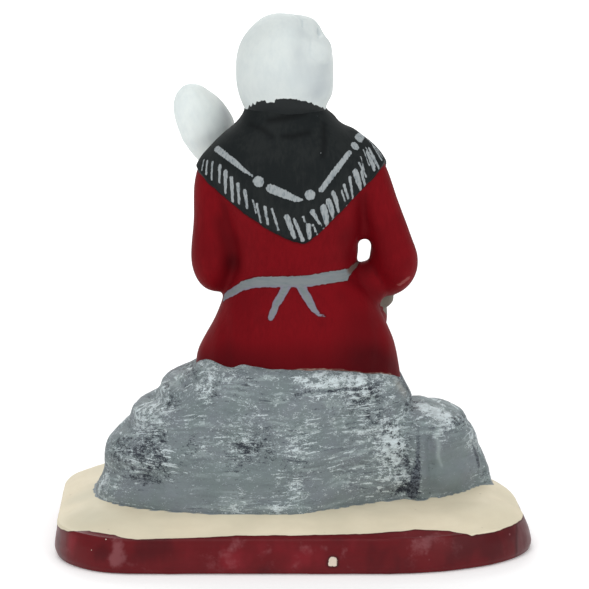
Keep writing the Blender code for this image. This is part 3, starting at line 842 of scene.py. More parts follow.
DASHES = (
    ((216.5, 148.5, 3.0), (233, 161, 2.9), (245, 171, 1.8), (252.5, 176, 0.7)),
    ((258.5, 181.7, 5.3),),
    ((270.5, 188.5, 4.2), (284, 194, 4.0), (296, 199.3, 2.8), (301.5, 199.8, 1.2)),
    ((310, 195, 5.0),), ((321.5, 189.5, 2.6), (336, 170, 2.8), (349.5, 152.5, 2.4)),
    ((355, 145.8, 4.6),), ((358.6, 138.8, 4.6), (362, 134.5, 3.2)),
)
FRINGE = (
    ((204, 160, 1.0), (201.8, 170, 0.7)), ((207.2, 161, 1.3), (206, 174, 1.1)),
    ((212.4, 162, 1.4), (211.6, 179, 1.2)), ((219.7, 166, 1.9), (219.4, 182, 1.3)),
    ((225.5, 172, 2.3), (225.4, 193, 1.2)), ((231.5, 178, 1.9), (232.5, 201, 1.5)),
    ((237.9, 184, 1.6), (239, 203, 1.4)), ((244.8, 191, 1.8), (247.3, 208, 1.3)),
    ((252.7, 200, 0.8), (255.8, 213, 0.6)), ((256.6, 204, 1.0), (260.7, 222.5, 0.9)),
    ((264.7, 207, 1.4), (267.7, 224, 1.2)), ((271.9, 209, 1.1), (278.3, 230, 1.0)),
    ((286.8, 217, 2.6), (290.5, 227, 2.5), (294.3, 237.5, 1.6)),
    ((293.8, 219, 1.2), (299, 231, 1.7), (302.8, 240.5, 1.6)),
    ((303.2, 217, 1.0), (305.4, 222, 0.7)), ((308.2, 225.5, 2.4), (309.8, 238.5, 1.6)),
    ((313.2, 225, 1.0), (317.6, 235.5, 0.8)),
    ((312.4, 211.5, 2.4), (318.5, 222, 1.2), (324.4, 229.5, 0.8)),
    ((323.2, 207.5, 3.1), (325.4, 215, 3.2), (327.2, 226.5, 1.8)),
    ((328.6, 201, 2.6), (331.3, 209, 2.6), (332.8, 219, 1.4)),
    ((333.1, 192.5, 1.9), (336.2, 201, 2.0), (338.8, 212, 1.2)),
    ((341.6, 190.5, 1.0), (346.6, 205.5, 0.8)), ((344, 185, 1.4), (348.2, 198.5, 1.1)),
    ((349.6, 177, 1.5), (352.8, 198.5, 1.0)),
    ((355.4, 172, 3.2), (358.4, 181, 3.0), (360.8, 189.5, 1.5)),
    ((358.9, 162.5, 1.0), (366.2, 177, 0.9)), ((361.6, 172, 1.7), (365, 185.5, 1.2)),
    ((367.8, 153, 2.6), (371.2, 161, 2.5), (374.2, 170, 1.4)),
    ((369.2, 148.5, 1.6), (374.4, 159, 1.8), (378.8, 168.5, 1.0)),
    ((370.5, 142, 1.0), (381.8, 160.5, 0.8)), ((372.8, 140.5, 0.9), (382.8, 158, 0.8)),
    ((363.5, 150, 0.8), (369, 165, 0.7)), ((361, 157, 0.7), (364, 170, 0.6)),
    ((366, 148, 0.8), (375, 167, 0.7)), ((375, 145, 0.8), (382, 160, 0.7)),
    ((374, 138, 0.6), (383, 151, 0.6)),
)
STRING = (
    ((222.5, 297.5, 4.3), (232, 292.5, 4.6), (243, 285.8, 5.0), (255, 282.4, 5.3), (280, 281.8, 5.4)),
    ((280, 281.8, 5.4), (308, 281.4, 5.6), (328, 277.8, 5.8), (345, 275.0, 6.0)),
    ((345, 275.0, 4.2), (352, 268.5, 3.0), (358.5, 261, 1.5)),
    ((285.5, 288, 4.4), (277, 303, 3.8), (270.8, 317.5, 3.1)),
    ((301, 287, 4.6), (309, 301, 4.2), (313.5, 309, 3.2), (319, 314.5, 1.6), (325, 316, 0.7)),
)
ARM_CREASES = (
    ((220, 222, 3.0), (225, 236, 5.0), (229, 250, 6.0), (229, 268, 6.0), (224, 284, 4.0)),
    ((360, 199, 3.0), (360, 216, 3.5), (361, 232, 3.5)),
    ((350, 278, 1.5), (362, 286, 2.0), (381, 297, 2.5)),
)
SHAWL_CREASES = (
    ((268, 120.5, 1.0), (284, 118, 2.2), (304, 113, 1.2)),
    ((283, 136.5, 0.8), (294, 136, 1.8), (308, 132.5, 0.8)),
    ((324, 124, 0.8), (324.5, 140, 1.4), (322.5, 156, 0.8)),
    ((250, 124, 0.5), (262, 129, 0.8), (272, 137, 0.5)),
)
SHAWL_FLECKS = (
    ((316.7, 115.8, 0.9),), ((321.3, 109, 0.7),), ((321.2, 153, 0.6),),
    ((267, 100.8, 0.8), (274.5, 100.6, 1.0)),
)
STRAP = (((350, 270, 3.5), (361, 259, 4.5)),)
BONNET_CREASES = (
    ((307, 14, 1.6), (304.5, 24, 2.6), (302, 38, 3.4), (299, 54, 4.2), (298, 64, 2.4)),
    ((322, 29, 1.6), (319, 42, 1.4), (317.5, 56, 0.8)),
    ((300, 75, 1.4), (313, 70, 2.2), (332, 67.5, 2.4)),
    ((308, 98, 2.6), (317, 94, 4.2), (326, 88, 2.6)), ((309.5, 36, 0.8), (308.5, 56, 0.8)),
)
BONNET_NOTCHES = (
    ((304, 13, 1.6), (303, 19, 1.4), (303, 25, 0.4)),
    ((324, 28, 2.0), (320.5, 32, 1.6), (318, 37, 0.4)),
)
WOOL_CREASE = (((224, 110, 1.4), (228, 120, 1.6), (227, 132, 1.2)),)
CRACKS = (
    ((296, 395, 0.4), (312, 391.5, 0.7), (330, 391, 0.7), (344, 389, 0.9), (356, 390, 0.5)),
    ((160, 388, 0.6), (166, 384, 0.9), (170, 390, 0.4)),
    ((113, 450, 0.6), (122, 444, 1.2), (130, 438, 0.7)),
)
DENTS = (
    ((150, 396, 3.0), (168, 402, 4.0), (192, 396, 2.0)),
    ((122, 424, 3.0), (140, 436, 4.0), (160, 434, 2.0)),
    ((160, 372, 2.5), (176, 384, 3.5), (190, 386, 1.5)),
    ((98, 462, 2.0), (112, 470, 3.0), (130, 468, 1.5)),
    ((470, 420, 2.0), (478, 446, 3.0), (486, 470, 2.0)),
    ((350, 398, 2.5), (366, 402, 4.0), (380, 398, 2.5)),
    ((228, 362, 2.0), (240, 378, 3.0), (236, 392, 2.0)),
)
# Painted shadow in the cleft, which ends at the boulder's edge
CLEFT = (
    ((417, 420, 1.2), (418.5, 444, 1.4), (418, 462, 2.2), (415, 480, 5.0), (412, 491, 8.0)),
    ((404, 488, 3.0), (396, 493, 2.0)),
)
CLEFT_END = 421.0
BOULDER_STRIP = ((473, 443, 1.6), (476.5, 455, 3.4), (479, 466, 2.8))
STREAK = ((439, 424, 1.2), (436.5, 436, 1.4), (439, 446, 1.4), (438, 456, 1.2), (442, 466, 0.6))

# Edges of paint: across and down
NECK_EDGE = (
    (236, 128), (243, 116), (246, 110.5), (248, 108.5), (249.5, 104.5), (251, 107), (252.5, 102.5),
    (255, 105), (256.5, 101.5), (259, 102.5), (261, 100.5), (265.5, 100.2), (266.3, 102.4),
    (270, 101.6), (274.4, 102.0), (275.2, 99.4), (283, 98.6), (290, 98.6), (298, 99.8),
    (303, 101.2), (306, 101), (309, 103.4), (311, 102.6), (314, 105), (317, 104.4), (320, 107),
    (323, 107.2), (332, 118),
)
BORDER = (
    (57, 525), (69, 531), (88, 531), (113, 534), (136, 539), (203, 537.5), (241, 535), (300, 535),
    (366, 533), (416, 530), (449, 531), (472, 536), (492, 532), (516, 523), (523, 514),
)

# Soft spots: across, down, radius in mm and strength
DRESS_SHADES = (
    (352, 344, 3.4, 0.42), (376, 354, 3.0, 0.42), (374, 322, 2.6, 0.32), (356, 316, 2.4, 0.22),
    (228, 352, 3.0, 0.25), (262, 356, 3.4, 0.2), (300, 354, 3.4, 0.22), (346, 236, 2.0, 0.5),
    (348, 256, 1.8, 0.45), (234, 262, 1.4, 0.3), (236, 240, 1.4, 0.25), (376, 252, 1.0, 0.45),
    (371, 266, 1.2, 0.45), (362, 270, 1.4, 0.3), (341, 296, 1.2, 0.22), (236, 262, 2.0, 0.2),
    (226, 342, 2.0, 0.15), (290, 304, 1.6, 0.15), (398, 270, 1.6, 0.25), (408, 262, 1.2, 0.25),
)
# A paler line along the right elbow's lower edge: wear together with a painted highlight
ELBOW_WEAR_AND_HIGHLIGHT = (
    (408.5, 278, 0.45, 0.7), (405.5, 280.5, 0.45, 0.7), (402, 283, 0.45, 0.7),
    (399, 285, 0.45, 0.7),
)
BONNET_SHADES = (
    (299, 56, 1.2, 0.24), (317, 95, 1.1, 0.36), (322, 78, 1.6, 0.18), (328, 62, 1.2, 0.12),
    (247, 88, 1.8, 0.14), (304, 34, 1.1, 0.16), (283, 88, 2.6, 0.14), (262, 90, 2.0, 0.1),
    (322, 75, 2.8, 0.34), (328, 92, 1.8, 0.3), (312, 84, 1.8, 0.14), (328, 50, 1.6, 0.16),
    (270, 94, 2.2, 0.1), (294, 90, 2.0, 0.12),
    (300, 32, 1.0, 0.24), (299, 48, 1.0, 0.2), (300, 68, 1.3, 0.2), (318, 86, 2.2, 0.16),
    (312, 66, 1.0, 0.14),
)
WOOL_SHADES = (
    (227, 113, 1.5, 0.55), (224, 124, 1.6, 0.45), (222, 102, 1.0, 0.25), (212, 136, 1.6, 0.25),
)
GLOOM = (
    (116, 452, 1.7, 0.64), (124, 443, 1.4, 0.34), (155, 440, 1.8, 0.54), (136, 461, 2.4, 0.42),
    (155, 469, 2.6, 0.5), (142, 478, 1.6, 0.3), (163, 387, 1.0, 0.7), (246, 379, 1.3, 0.32),
    (212, 394, 1.6, 0.26), (192, 446, 1.6, 0.3), (270, 456, 1.6, 0.26), (388, 426, 1.4, 0.3),
    (394, 447, 2.2, 0.32), (172, 400, 1.6, 0.24), (245, 446, 2.4, 0.3), (238, 466, 2.0, 0.2),
    (300, 462, 1.8, 0.25), (268, 440, 1.6, 0.18), (356, 402, 2.2, 0.36), (370, 396, 2.0, 0.4),
    (368, 410, 2.2, 0.34), (396, 430, 1.0, 0.18), (402, 448, 1.0, 0.26), (405, 464, 1.2, 0.3),
    (410, 478, 1.4, 0.34), (414, 489, 1.6, 0.3), (398, 490, 1.3, 0.3), (384, 492, 1.0, 0.2),
    (414, 424, 0.8, 0.2), (462, 414, 1.2, 0.3), (492, 482, 1.2, 0.25), (430, 440, 1.2, 0.18),
    (310, 425, 2.6, 0.12),
)
GLEAM = (
    (150, 416, 2.4, 0.36), (138, 428, 1.8, 0.24), (163, 408, 1.8, 0.2), (211, 380, 2.0, 0.46),
    (200, 392, 2.4, 0.16), (180, 376, 1.6, 0.16), (232, 376, 1.2, 0.16), (308, 380, 1.8, 0.3),
    (330, 382, 2.2, 0.42), (352, 384, 2.0, 0.32), (366, 379, 2.0, 0.34), (384, 384, 1.8, 0.18),
    (298, 374, 1.6, 0.2), (300, 446, 1.8, 0.34), (302, 430, 1.6, 0.22), (345, 430, 3.2, 0.16),
    (376, 440, 2.6, 0.22), (394, 446, 1.8, 0.54), (390, 428, 2.2, 0.32), (396, 462, 1.6, 0.56),
    (400, 476, 1.2, 0.3), (386, 476, 2.2, 0.2), (404, 414, 1.4, 0.24), (425, 406, 1.8, 0.8),
    (437, 412, 2.1, 0.8), (447, 422, 1.6, 0.36), (458, 414, 1.4, 0.18), (440, 430, 1.2, 0.3),
    (255, 420, 3.4, 0.12), (230, 440, 2.4, 0.1), (285, 492, 2.0, 0.16), (300, 486, 2.0, 0.14),
    (235, 508, 1.2, 0.36), (250, 512, 1.2, 0.3), (275, 512, 1.3, 0.34), (102, 484, 1.4, 0.32),
    (118, 478, 1.0, 0.3), (106, 496, 1.2, 0.26), (350, 478, 2.6, 0.12), (118, 447, 1.8, 0.16),
    (150, 440, 2.4, 0.1), (142, 460, 2.6, 0.06), (168, 466, 2.0, 0.12), (246, 446, 2.0, 0.2),
    (362, 402, 1.8, 0.2), (412, 484, 1.4, 0.2),
)
CALM = (
    (452, 462, 3.4, 0.9), (477, 455, 1.7, 0.9), (428, 450, 1.5, 0.9), (427, 471, 1.5, 0.9),
    (438, 478, 2.6, 0.8), (462, 478, 2.4, 0.8), (180, 498, 2.8, 0.7), (150, 492, 2.2, 0.7),
    (215, 486, 2.4, 0.5), (260, 480, 2.2, 0.5), (330, 440, 1.8, 0.4), (350, 415, 1.6, 0.4),
    (340, 500, 2.2, 0.5), (180, 440, 1.6, 0.4), (225, 412, 2.0, 0.4),
)
BEIGE = ((399, 385, 1.0, 0.7), (404, 392, 0.8, 0.5))
# Paler places on the edge: painted reflections and highlights, with rubbed wear
SHEEN_AND_SMUDGES = (
    (118, 543, 1.4, 0.5), (119, 553, 1.5, 0.5), (117, 562, 1.3, 0.7), (222, 562, 1.4, 0.45),
    (234, 548, 1.2, 0.4), (262, 562, 1.6, 0.3), (300, 550, 1.8, 0.4), (205, 556, 1.2, 0.25),
    (415, 545, 1.5, 0.45), (432, 538, 1.4, 0.5), (455, 552, 1.5, 0.45), (524, 540, 1.4, 0.55),
    (62, 548, 1.0, 0.35), (360, 552, 1.5, 0.2),
)
# Painted light and shade on the edge's faces: brighter above 0 and darker below
LIT_AND_SHADED_PANELS = (
    (72, 540, 1.2, 0.6), (84, 544, 1.5, 0.3), (70, 552, 1.4, 0.3),
    (58, 536, 0.7, -1.2), (58, 546, 0.8, -1.2), (60, 556, 0.8, -1.0),
    (145, 552, 3.0, -0.5), (170, 546, 2.0, -0.5), (100, 554, 1.6, -0.8),
    (230, 556, 2.6, 0.5), (250, 560, 2.0, 0.4), (290, 552, 3.0, 0.6), (310, 558, 2.0, 0.5),
    (270, 572, 2.5, -0.4), (350, 548, 2.0, 0.2), (380, 556, 3.0, -0.3),
    (405, 562, 2.2, -0.4), (468, 548, 2.8, -0.8), (495, 545, 2.2, -0.9), (510, 534, 1.4, -0.7),
    (525, 538, 1.0, -0.7),
)
# The ground's left, darker and greener: partly its own tone, partly painted shade
GROUND_TONE_AND_SHADE = ((84, 514, 4.0, 0.8), (108, 520, 4.0, 0.6), (84, 496, 3.0, 0.6), (140, 524, 4.0, 0.3))

# Chips of the base's edge: across, down and radius in mm, the first one round its outline
CHIPS = (
    ((331.0, 563.8, 0.40), (331.6, 559.6, 0.36), (334.4, 559.4, 0.34), (334.8, 564.0, 0.38),
     (331.0, 563.8, 0.40)),
    ((214.5, 558, 0.1),), ((105.5, 539.5, 0.12),), ((91, 550, 0.09),),
)


def hem_height(x, y):
    """Height of the shawl's hem on the figure's grid: a point behind, and a lower one in front."""
    left = np.maximum(x + 1.3, 0)
    right = np.maximum(-1.3 - x, 0)
    behind = 16.4 + np.hypot(0.45 * left + 0.015 * left**2 + 0.97 * right, 0.7)
    before = 12.6 + np.abs(x) * 1.0
    return before + (behind - before) * ease(-2.5, 1.5, y)


def hem_rise(mould, points):
    """Height of each point above the shawl's hem, square to the hem and in mm."""
    x, y, z = mould.figure_grid(points)
    step = 0.2
    slope = np.hypot(
        (hem_height(x + step, y) - hem_height(x - step, y)) / step / 2,
        (hem_height(x, y + step) - hem_height(x, y - step)) / step / 2 * 0.5,
    )
    return (z - hem_height(x, y)) / np.sqrt(1 + slope**2) * mould.unit / MM


def on_shawl(tree, mould, angle, rise):
    """The point of the shawl at an angle round the body, a height in mm above the hem."""
    level = 20.0
    for _ in range(5):
        outside = mould.figure(0.5 + 40 * math.cos(angle), 0.5 + 40 * math.sin(angle), level)
        inside = mould.figure(0.5, 0.5, level)
        hit = tree.ray_cast(outside, (inside - outside).normalized())[0]
        x, y, _ = mould.figure_grid([hit])
        level = float(hem_height(x, y)[0]) + rise * MM / mould.unit * 1.2
    return hit


def unseen_trim(tree, mould):
    """Fringe and dashes round the sides and front, in the manner of those behind."""
    chance = np.random.RandomState(5)
    fringe, dashes = [], []
    angle = math.radians(-173)
    while angle < math.radians(-8):
        reach = 3.0 + chance.uniform(-0.5, 0.6)
        lean = 0.045 + chance.uniform(-0.02, 0.02)
        width = chance.choice((0.14, 0.2, 0.26, 0.4))
        stroke = []
        for share in (0, 0.5, 1):
            point = on_shawl(tree, mould, angle + lean * share, 0.7 + reach * (1 - share))
            stroke.append((point, width * (1 - 0.35 * share)))
        fringe.append(stroke)
        angle += math.radians(chance.uniform(5.2, 7.2))
    for i in range(6):
        start = math.radians(-164 + i * 25)
        ends = [start + math.radians(17) * share for share in (0, 0.25, 0.5, 0.75, 1)]
        dashes.append([(on_shawl(tree, mould, a, 6.4), 0.36) for a in ends])
        dashes.append([(on_shawl(tree, mould, start + math.radians(21), 6.4), 0.62)])
    return fringe, dashes


# Materials


class Paint:
    """A node tree that is built up by name."""

    def __init__(self, tree):
        self.tree = tree

    def add(self, kind, sockets=None, **settings):
        node = self.tree.nodes.new(kind)
        for name, value in settings.items():
            setattr(node, name, value)
        for name, value in (sockets or {}).items():
            self.feed(node.inputs[name], value)
        return node

    def feed(self, socket, value):
        if isinstance(value, bpy.types.NodeSocket):
            self.tree.links.new(value, socket)
        else:
            socket.default_value = value

    def group(self, made, **sockets):
        named = {name.replace("_", " "): value for name, value in sockets.items()}
        return self.add("ShaderNodeGroup", named, node_tree=made).outputs

    def math(self, operation, *values):
        return self.add("ShaderNodeMath", dict(enumerate(values)), operation=operation).outputs[0]

    def times(self, first, second):
        return self.math("MULTIPLY", first, second)

    def line(self, value, factor, offset):
        """The value times a factor, plus an offset."""
        return self.math("MULTIPLY_ADD", value, factor, offset)

    def vector(self, operation, first, second, socket=1):
        sockets = {0: first, socket: second}
        return self.add("ShaderNodeVectorMath", sockets, operation=operation).outputs[0]

    def between(self, value, low, high):
        """0 where the value is low and 1 where it is high, smooth between."""
        sockets = {"Value": value, "From Min": low, "From Max": high}
        return self.add("ShaderNodeMapRange", sockets, interpolation_type="SMOOTHSTEP").outputs[0]

    def over(self, look, paint, mask, strength=1.0):
        """A paint laid over a look, where the mask is 1 and at the strength given."""
        share = mask if strength == 1.0 else self.times(mask, strength)
        return self.add("ShaderNodeMix", {0: share, 6: look, 7: paint}, data_type="RGBA").outputs[2]

    def map(self, name):
        return self.add("ShaderNodeAttribute", attribute_name=name).outputs["Fac"]

    def noise(self, place, scale, detail=3.0, rough=0.55):
        sockets = {"Vector": place, "Scale": scale, "Detail": detail, "Roughness": rough}
        return self.add("ShaderNodeTexNoise", sockets).outputs["Fac"]

    def lumps(self, place, size, detail, rough=0.55):
        """Noise with lumps of about the size given, in mm."""
        return self.noise(place, self.math("DIVIDE", 1.0, size), detail, rough)

    def stretched(self, place, scale):
        return self.vector("MULTIPLY", place, scale)

    def drifting(self, place, scale, detail, reach):
        """The place, led astray smoothly so that strokes drawn on it bend."""
        wander = self.add("ShaderNodeTexNoise", {"Vector": place, "Scale": scale, "Detail": detail})
        shift = self.vector("SUBTRACT", wander.outputs["Color"], (0.5, 0.5, 0.5))
        return self.vector("ADD", place, self.vector("SCALE", shift, reach, 3))

    def cells(self, place, scale):
        """Distance to the nearest of some scattered seeds, and a chance value of that seed."""
        found = self.add("ShaderNodeTexVoronoi", {"Vector": place, "Scale": scale}).outputs
        luck = self.add("ShaderNodeSeparateColor", {"Color": found["Color"]}).outputs[0]
        return found["Distance"], luck


def effect(name, inputs, outputs):
    """An empty shader group that reads a place and some inputs, or the one made before."""
    if name in bpy.data.node_groups:
        return bpy.data.node_groups[name], None, None, None
    tree = bpy.data.node_groups.new(name, "ShaderNodeTree")
    for socket, default in {"Place": None, **inputs}.items():
        kind = "NodeSocketFloat" if isinstance(default, float) else "NodeSocketVector"
        made = tree.interface.new_socket(socket, in_out="INPUT", socket_type=kind)
        if default is not None:
            made.default_value = default
    for socket in outputs:
        tree.interface.new_socket(socket, in_out="OUTPUT", socket_type="NodeSocketFloat")
    start = tree.nodes.new("NodeGroupInput").outputs
    end = tree.nodes.new("NodeGroupOutput").inputs
    return tree, Paint(tree), start, end


def painted_edge():
    """Group: where a hand-painted area reaches, from a distance to its edge in mm."""
    inputs = {"Distance": 0.0, "Waver": 0.1, "Size": 1.0, "Softness": 0.05}
    tree, p, start, end = effect("Painted Edge", inputs, ["Mask"])
    if p:
        wave = p.math("SUBTRACT", p.lumps(start["Place"], start["Size"], 2.0), 0.5)
        gap = p.line(wave, p.times(start["Waver"], 4.0), start["Distance"])
        p.feed(end["Mask"], p.between(gap, start["Softness"], p.times(start["Softness"], -1.0)))
    return tree


def brush_grain():
    """Group: streaks and clouds of a hand-brushed coat, as a shade and as a height."""
    inputs = {"Stretch": (1.0, 1.0, 0.25), "Size": 0.35, "Cloud Size": 4.0}
    tree, p, start, end = effect("Brush Grain", inputs, ["Shade", "Height"])
    if p:
        streaks = p.lumps(p.stretched(start["Place"], start["Stretch"]), start["Size"], 4.0, 0.6)
        clouds = p.lumps(start["Place"], start["Cloud Size"], 3.0, 0.5)
        shade = p.line(streaks, 0.45, p.times(clouds, 0.55))
        p.feed(end["Shade"], p.between(shade, 0.33, 0.67))
        p.feed(end["Height"], streaks)
    return tree


def dry_brush():
    """Group: what a nearly dry brush leaves on the heights of a surface, by the amount on it."""
    inputs = {
        "Height": 0.5, "Stretch": (0.35, 0.35, 1.6), "Size": 0.4, "Amount": 0.5, "Softness": 0.05
    }
    tree, p, start, end = effect("Dry Brush", inputs, ["Mask"])
    if p:
        bristles = p.lumps(p.stretched(start["Place"], start["Stretch"]), start["Size"], 3.0, 0.6)
        field = p.line(bristles, 0.5, p.times(start["Height"], 0.5))
        level = p.line(start["Amount"], -0.34, 0.68)
        low, high = (p.math(way, level, start["Softness"]) for way in ("SUBTRACT", "ADD"))
        p.feed(end["Mask"], p.between(field, low, high))
    return tree


def rough_skin():
    """Group: the height of a rough skin, in low lumps that lie along and drift."""
    inputs = {"Stretch": (0.42, 0.42, 1.25), "Size": 0.85}
    tree, p, start, end = effect("Rough Skin", inputs, ["Height"])
    if p:
        place = p.stretched(p.drifting(start["Place"], 0.16, 2.0, 3.0), start["Stretch"])
        p.feed(end["Height"], p.lumps(place, start["Size"], 6.0, 0.68))
    return tree


def brush_lines():
    """Group: single thin drifting strokes of a stiff brush; the amount is the share laid."""
    inputs = {"Stretch": (0.34, 0.34, 3.4), "Amount": 0.5, "Ragged": 0.5, "Softness": 0.05}
    tree, p, start, end = effect("Brush Lines", inputs, ["Mask"])
    if p:
        moved = p.drifting(start["Place"], 0.13, 0.5, 3.2)
        middle, luck = p.cells(p.stretched(moved, start["Stretch"]), 1.0)
        laid = p.between(p.math("SUBTRACT", start["Amount"], luck), 0.0, 0.04)
        bristles = p.noise(p.stretched(moved, (0.9, 0.9, 2.2)), 3.4, 2.0, 0.6)
        reach = p.line(p.math("SUBTRACT", bristles, 0.5), start["Ragged"], middle)
        low, high = (p.math(way, 0.40, start["Softness"]) for way in ("SUBTRACT", "ADD"))
        p.feed(end["Mask"], p.times(laid, p.between(reach, high, low)))
    return tree


def speckle():
    """Group: small scattered specks, each of its own size."""
    tree, p, start, end = effect("Speckle", {"Spacing": 1.0, "Amount": 0.3}, ["Mask"])
    if p:
        gap, luck = p.cells(start["Place"], p.math("DIVIDE", 1.0, start["Spacing"]))
        radius = p.times(p.times(luck, start["Amount"]), 0.5)
        p.feed(end["Mask"], p.between(gap, p.math("ADD", radius, 0.06), radius))
    return tree


class Finish(Paint):
    """A new material, with its shader's inputs and the place of each point in mm."""

    def __init__(self, name):
        self.material = bpy.data.materials.new(name)
        self.material.use_nodes = True
        super().__init__(self.material.node_tree)
        self.shader = self.tree.nodes["Principled BSDF"].inputs
        spot = self.add("ShaderNodeTexCoord").outputs["Object"]
        self.place = self.stretched(spot, (1 / MM, 1 / MM, 1 / MM))

    def grain(self, stretch, size, cloud):
        """The shade and the height of a brushed coat."""
        made = self.group(
            brush_grain(), Place=self.place, Stretch=stretch, Size=size, Cloud_Size=cloud
        )
        return made["Shade"], made["Height"]

    def rough(self, size, stretch=(0.42, 0.42, 1.25)):
        return self.group(rough_skin(), Place=self.place, Stretch=stretch, Size=size)["Height"]

    def area(self, name, waver, size, softness=0.05, place=None):
        """Where a painted area reaches, from the map of the distance to its edge."""
        sockets = {"Distance": self.map(name), "Waver": waver, "Size": size, "Softness": softness}
        return self.group(painted_edge(), Place=place or self.place, **sockets)["Mask"]

    def dry(self, height, amount, size, stretch, softness=0.05, place=None):
        """Where a nearly dry brush leaves paint."""
        sockets = {"Height": height, "Amount": amount, "Size": size, "Softness": softness}
        return self.group(
            dry_brush(), Place=place or self.place, Stretch=stretch, **sockets
        )["Mask"]

    def specks(self, spacing):
        return self.group(speckle(), Place=self.place, Spacing=spacing, Amount=0.10)["Mask"]

    def done(self, look, roughness, specular=0.5, height=None, depth=0.0):
        """The material, with a bump that stands depth mm tall where a height is given."""
        self.feed(self.shader["Base Color"], look)
        self.feed(self.shader["Roughness"], roughness)
        self.shader["Specular IOR Level"].default_value = specular
        if height:
            sockets = {"Height": height, "Distance": depth * MM, "Strength": 1.0}
            self.feed(self.shader["Normal"], self.add("ShaderNodeBump", sockets).outputs[0])
        return self.material


def cloth_paint(c):
    """Dress, apron, string and shawl, painted one over another by hand."""
    p = Finish("cloth_paint")
    clouds, streaks = p.grain((1.0, 1.0, 0.3), 0.5, 5.0)
    # Painted shade: the red darkens in creases, low on the skirt, at listed spots and in hollows; the
    # clouds vary it at random
    shade = p.math("MAXIMUM", p.times(clouds, 0.35), p.map("crease"))
    painted_hollow_shade = p.between(p.map("relief"), 0.02, -0.10)
    red = p.over(c.dress, c.dress_shade, p.math("MAXIMUM", shade, p.times(painted_hollow_shade, 0.5)))
    # A paler line along the right elbow's lower edge: wear together with a painted highlight
    scuff_and_highlight = p.dry(p.rough(0.9), p.map("worn"), 0.25, (0.35, 0.35, 1.6), 0.1)
    red = p.over(red, tone(134, 66, 64), scuff_and_highlight, p.between(p.map("worn"), 0.1, 0.6))

    taupe = p.over(c.apron, tone(84, 78, 70), clouds, 0.4)
    look = p.over(red, taupe, p.area("apron", 0.25, 2.0))
    # A painted shadow just outside the string's edge
    look = p.over(look, tone(52, 8, 14), p.between(p.map("string"), 0.26, 0.06), 0.4)
    streak = p.noise(p.stretched(p.place, (0.35, 0.35, 2.2)), 1.6, 3.0)
    cord = p.over(c.string, tone(108, 119, 122), p.between(streak, 0.4, 0.75))
    lower = p.times(p.between(p.map("string"), -0.45, -0.05), p.map("lilac"))
    cord = p.over(cord, tone(126, 120, 136), lower, 0.7)
    cord = p.over(cord, tone(92, 76, 70), p.map("strap"))
    string = p.area("string", 0.10, 0.9)
    look = p.over(look, cord, string)

    shawl = p.area("hem", 0.16, 1.6, 0.06)
    black = p.over(c.shawl, tone(39, 42, 42), p.between(clouds, 0.2, 1.0), 0.7)
    # Painted shade in the shawl's folds
    black = p.over(black, tone(16, 18, 19), p.map("fold"), 0.8)
    look = p.over(look, black, shawl)
    trim = p.area("trim", 0.09, 0.6, place=p.stretched(p.place, (2.4, 2.4, 0.8)))
    patchy = p.noise(p.stretched(p.place, (2.2, 2.2, 0.6)), 1.8, 3.0, 0.6)
    grey = p.over(c.trim, tone(104, 114, 120), p.between(patchy, 0.45, 0.75))
    look = p.over(look, grey, trim, shawl)
    thin = p.between(p.noise(p.place, 0.9, 3.0), 0.42, 0.62)
    look = p.over(look, tone(158, 138, 126), p.area("bare", 0.10, 1.5), p.line(thin, 0.5, 0.2))

    coats = p.line(string, 0.7, p.line(trim, 0.55, p.times(shawl, 0.4)))
    rough = p.line(trim, 0.1, p.line(streaks, 0.2, 0.5))
    return p.done(look, rough, 0.06, p.line(streaks, 0.6, coats), 0.05)


def white_paint(name, c, stretch, strand, lift=1.0):
    """The brushed whites of bonnet and wool, with bluish painted shade in their hollows and creases.
    """
    p = Finish(name)
    clouds, streaks = p.grain(stretch, strand, 3.6)
    shade = p.math("MAXIMUM", p.times(clouds, 0.45), p.between(p.map("relief"), 0.02, -0.11))
    white, bluish = ([min(v * lift, 0.95) for v in paint] for paint in (c.white, c.white_shade))
    look = p.over(white, bluish, shade)
    # Painted shade in the creases and at listed soft spots
    look = p.over(look, tone(168, 176, 180), p.map("crease"), 0.8)
    look = p.over(look, tone(29, 33, 34), p.area("neck", 0.14, 0.8))
    return p.done(look, p.line(streaks, 0.25, 0.45), 0.2, streaks, 0.035)


def skin_paint(c):
    """Face and hands: skin with a soft blush, painted eyes, brows, lips and hair."""
    p = Finish("skin_paint")
    clouds, streaks = p.grain((1.0, 1.0, 0.6), 0.5, 2.5)
    look = p.over(c.skin, tone(190, 138, 112), clouds, 0.3)
    # Painted shade in the hollows of face and hands
    look = p.over(look, tone(168, 108, 88), p.between(p.map("relief"), 0.0, -0.12))
    look = p.over(look, c.blush, p.map("blush"), 0.55)
    for name, paint, soft in (
        ("hair", c.hair, 0.08),
        ("lips", tone(176, 92, 84), 0.06),
        ("mouth", tone(122, 58, 52), 0.05),
        ("eye", tone(222, 216, 206), 0.04),
        ("iris", tone(84, 66, 52), 0.04),
        ("lash", tone(64, 48, 40), 0.04),
        ("brow", tone(112, 90, 72), 0.08),
    ):
        look = p.over(look, paint, p.area(name, 0.02, 0.5, soft))
    return p.done(look, p.line(streaks, 0.2, 0.42), height=streaks, depth=0.02)


def wood_paint(c):
    """Brown paint streaked along the distaff and spindle, with thread wound on."""
    p = Finish("wood_paint")
    clouds, streaks = p.grain((1.5, 1.5, 0.3), 0.4, 3.0)
    look = p.over(c.wood, tone(78, 50, 30), clouds, 0.6)
    strand = p.noise(p.stretched(p.place, (5.0, 0.6, 0.6)), 1.0, 2.0)
    wound = p.over(c.white, tone(176, 170, 156), p.between(strand, 0.4, 0.6))
    look = p.over(look, wound, p.between(p.map("thread"), 0.05, -0.05))
    height = p.math("ADD", streaks, strand)
    return p.done(look, p.line(streaks, 0.2, 0.45), height=height, depth=0.03)


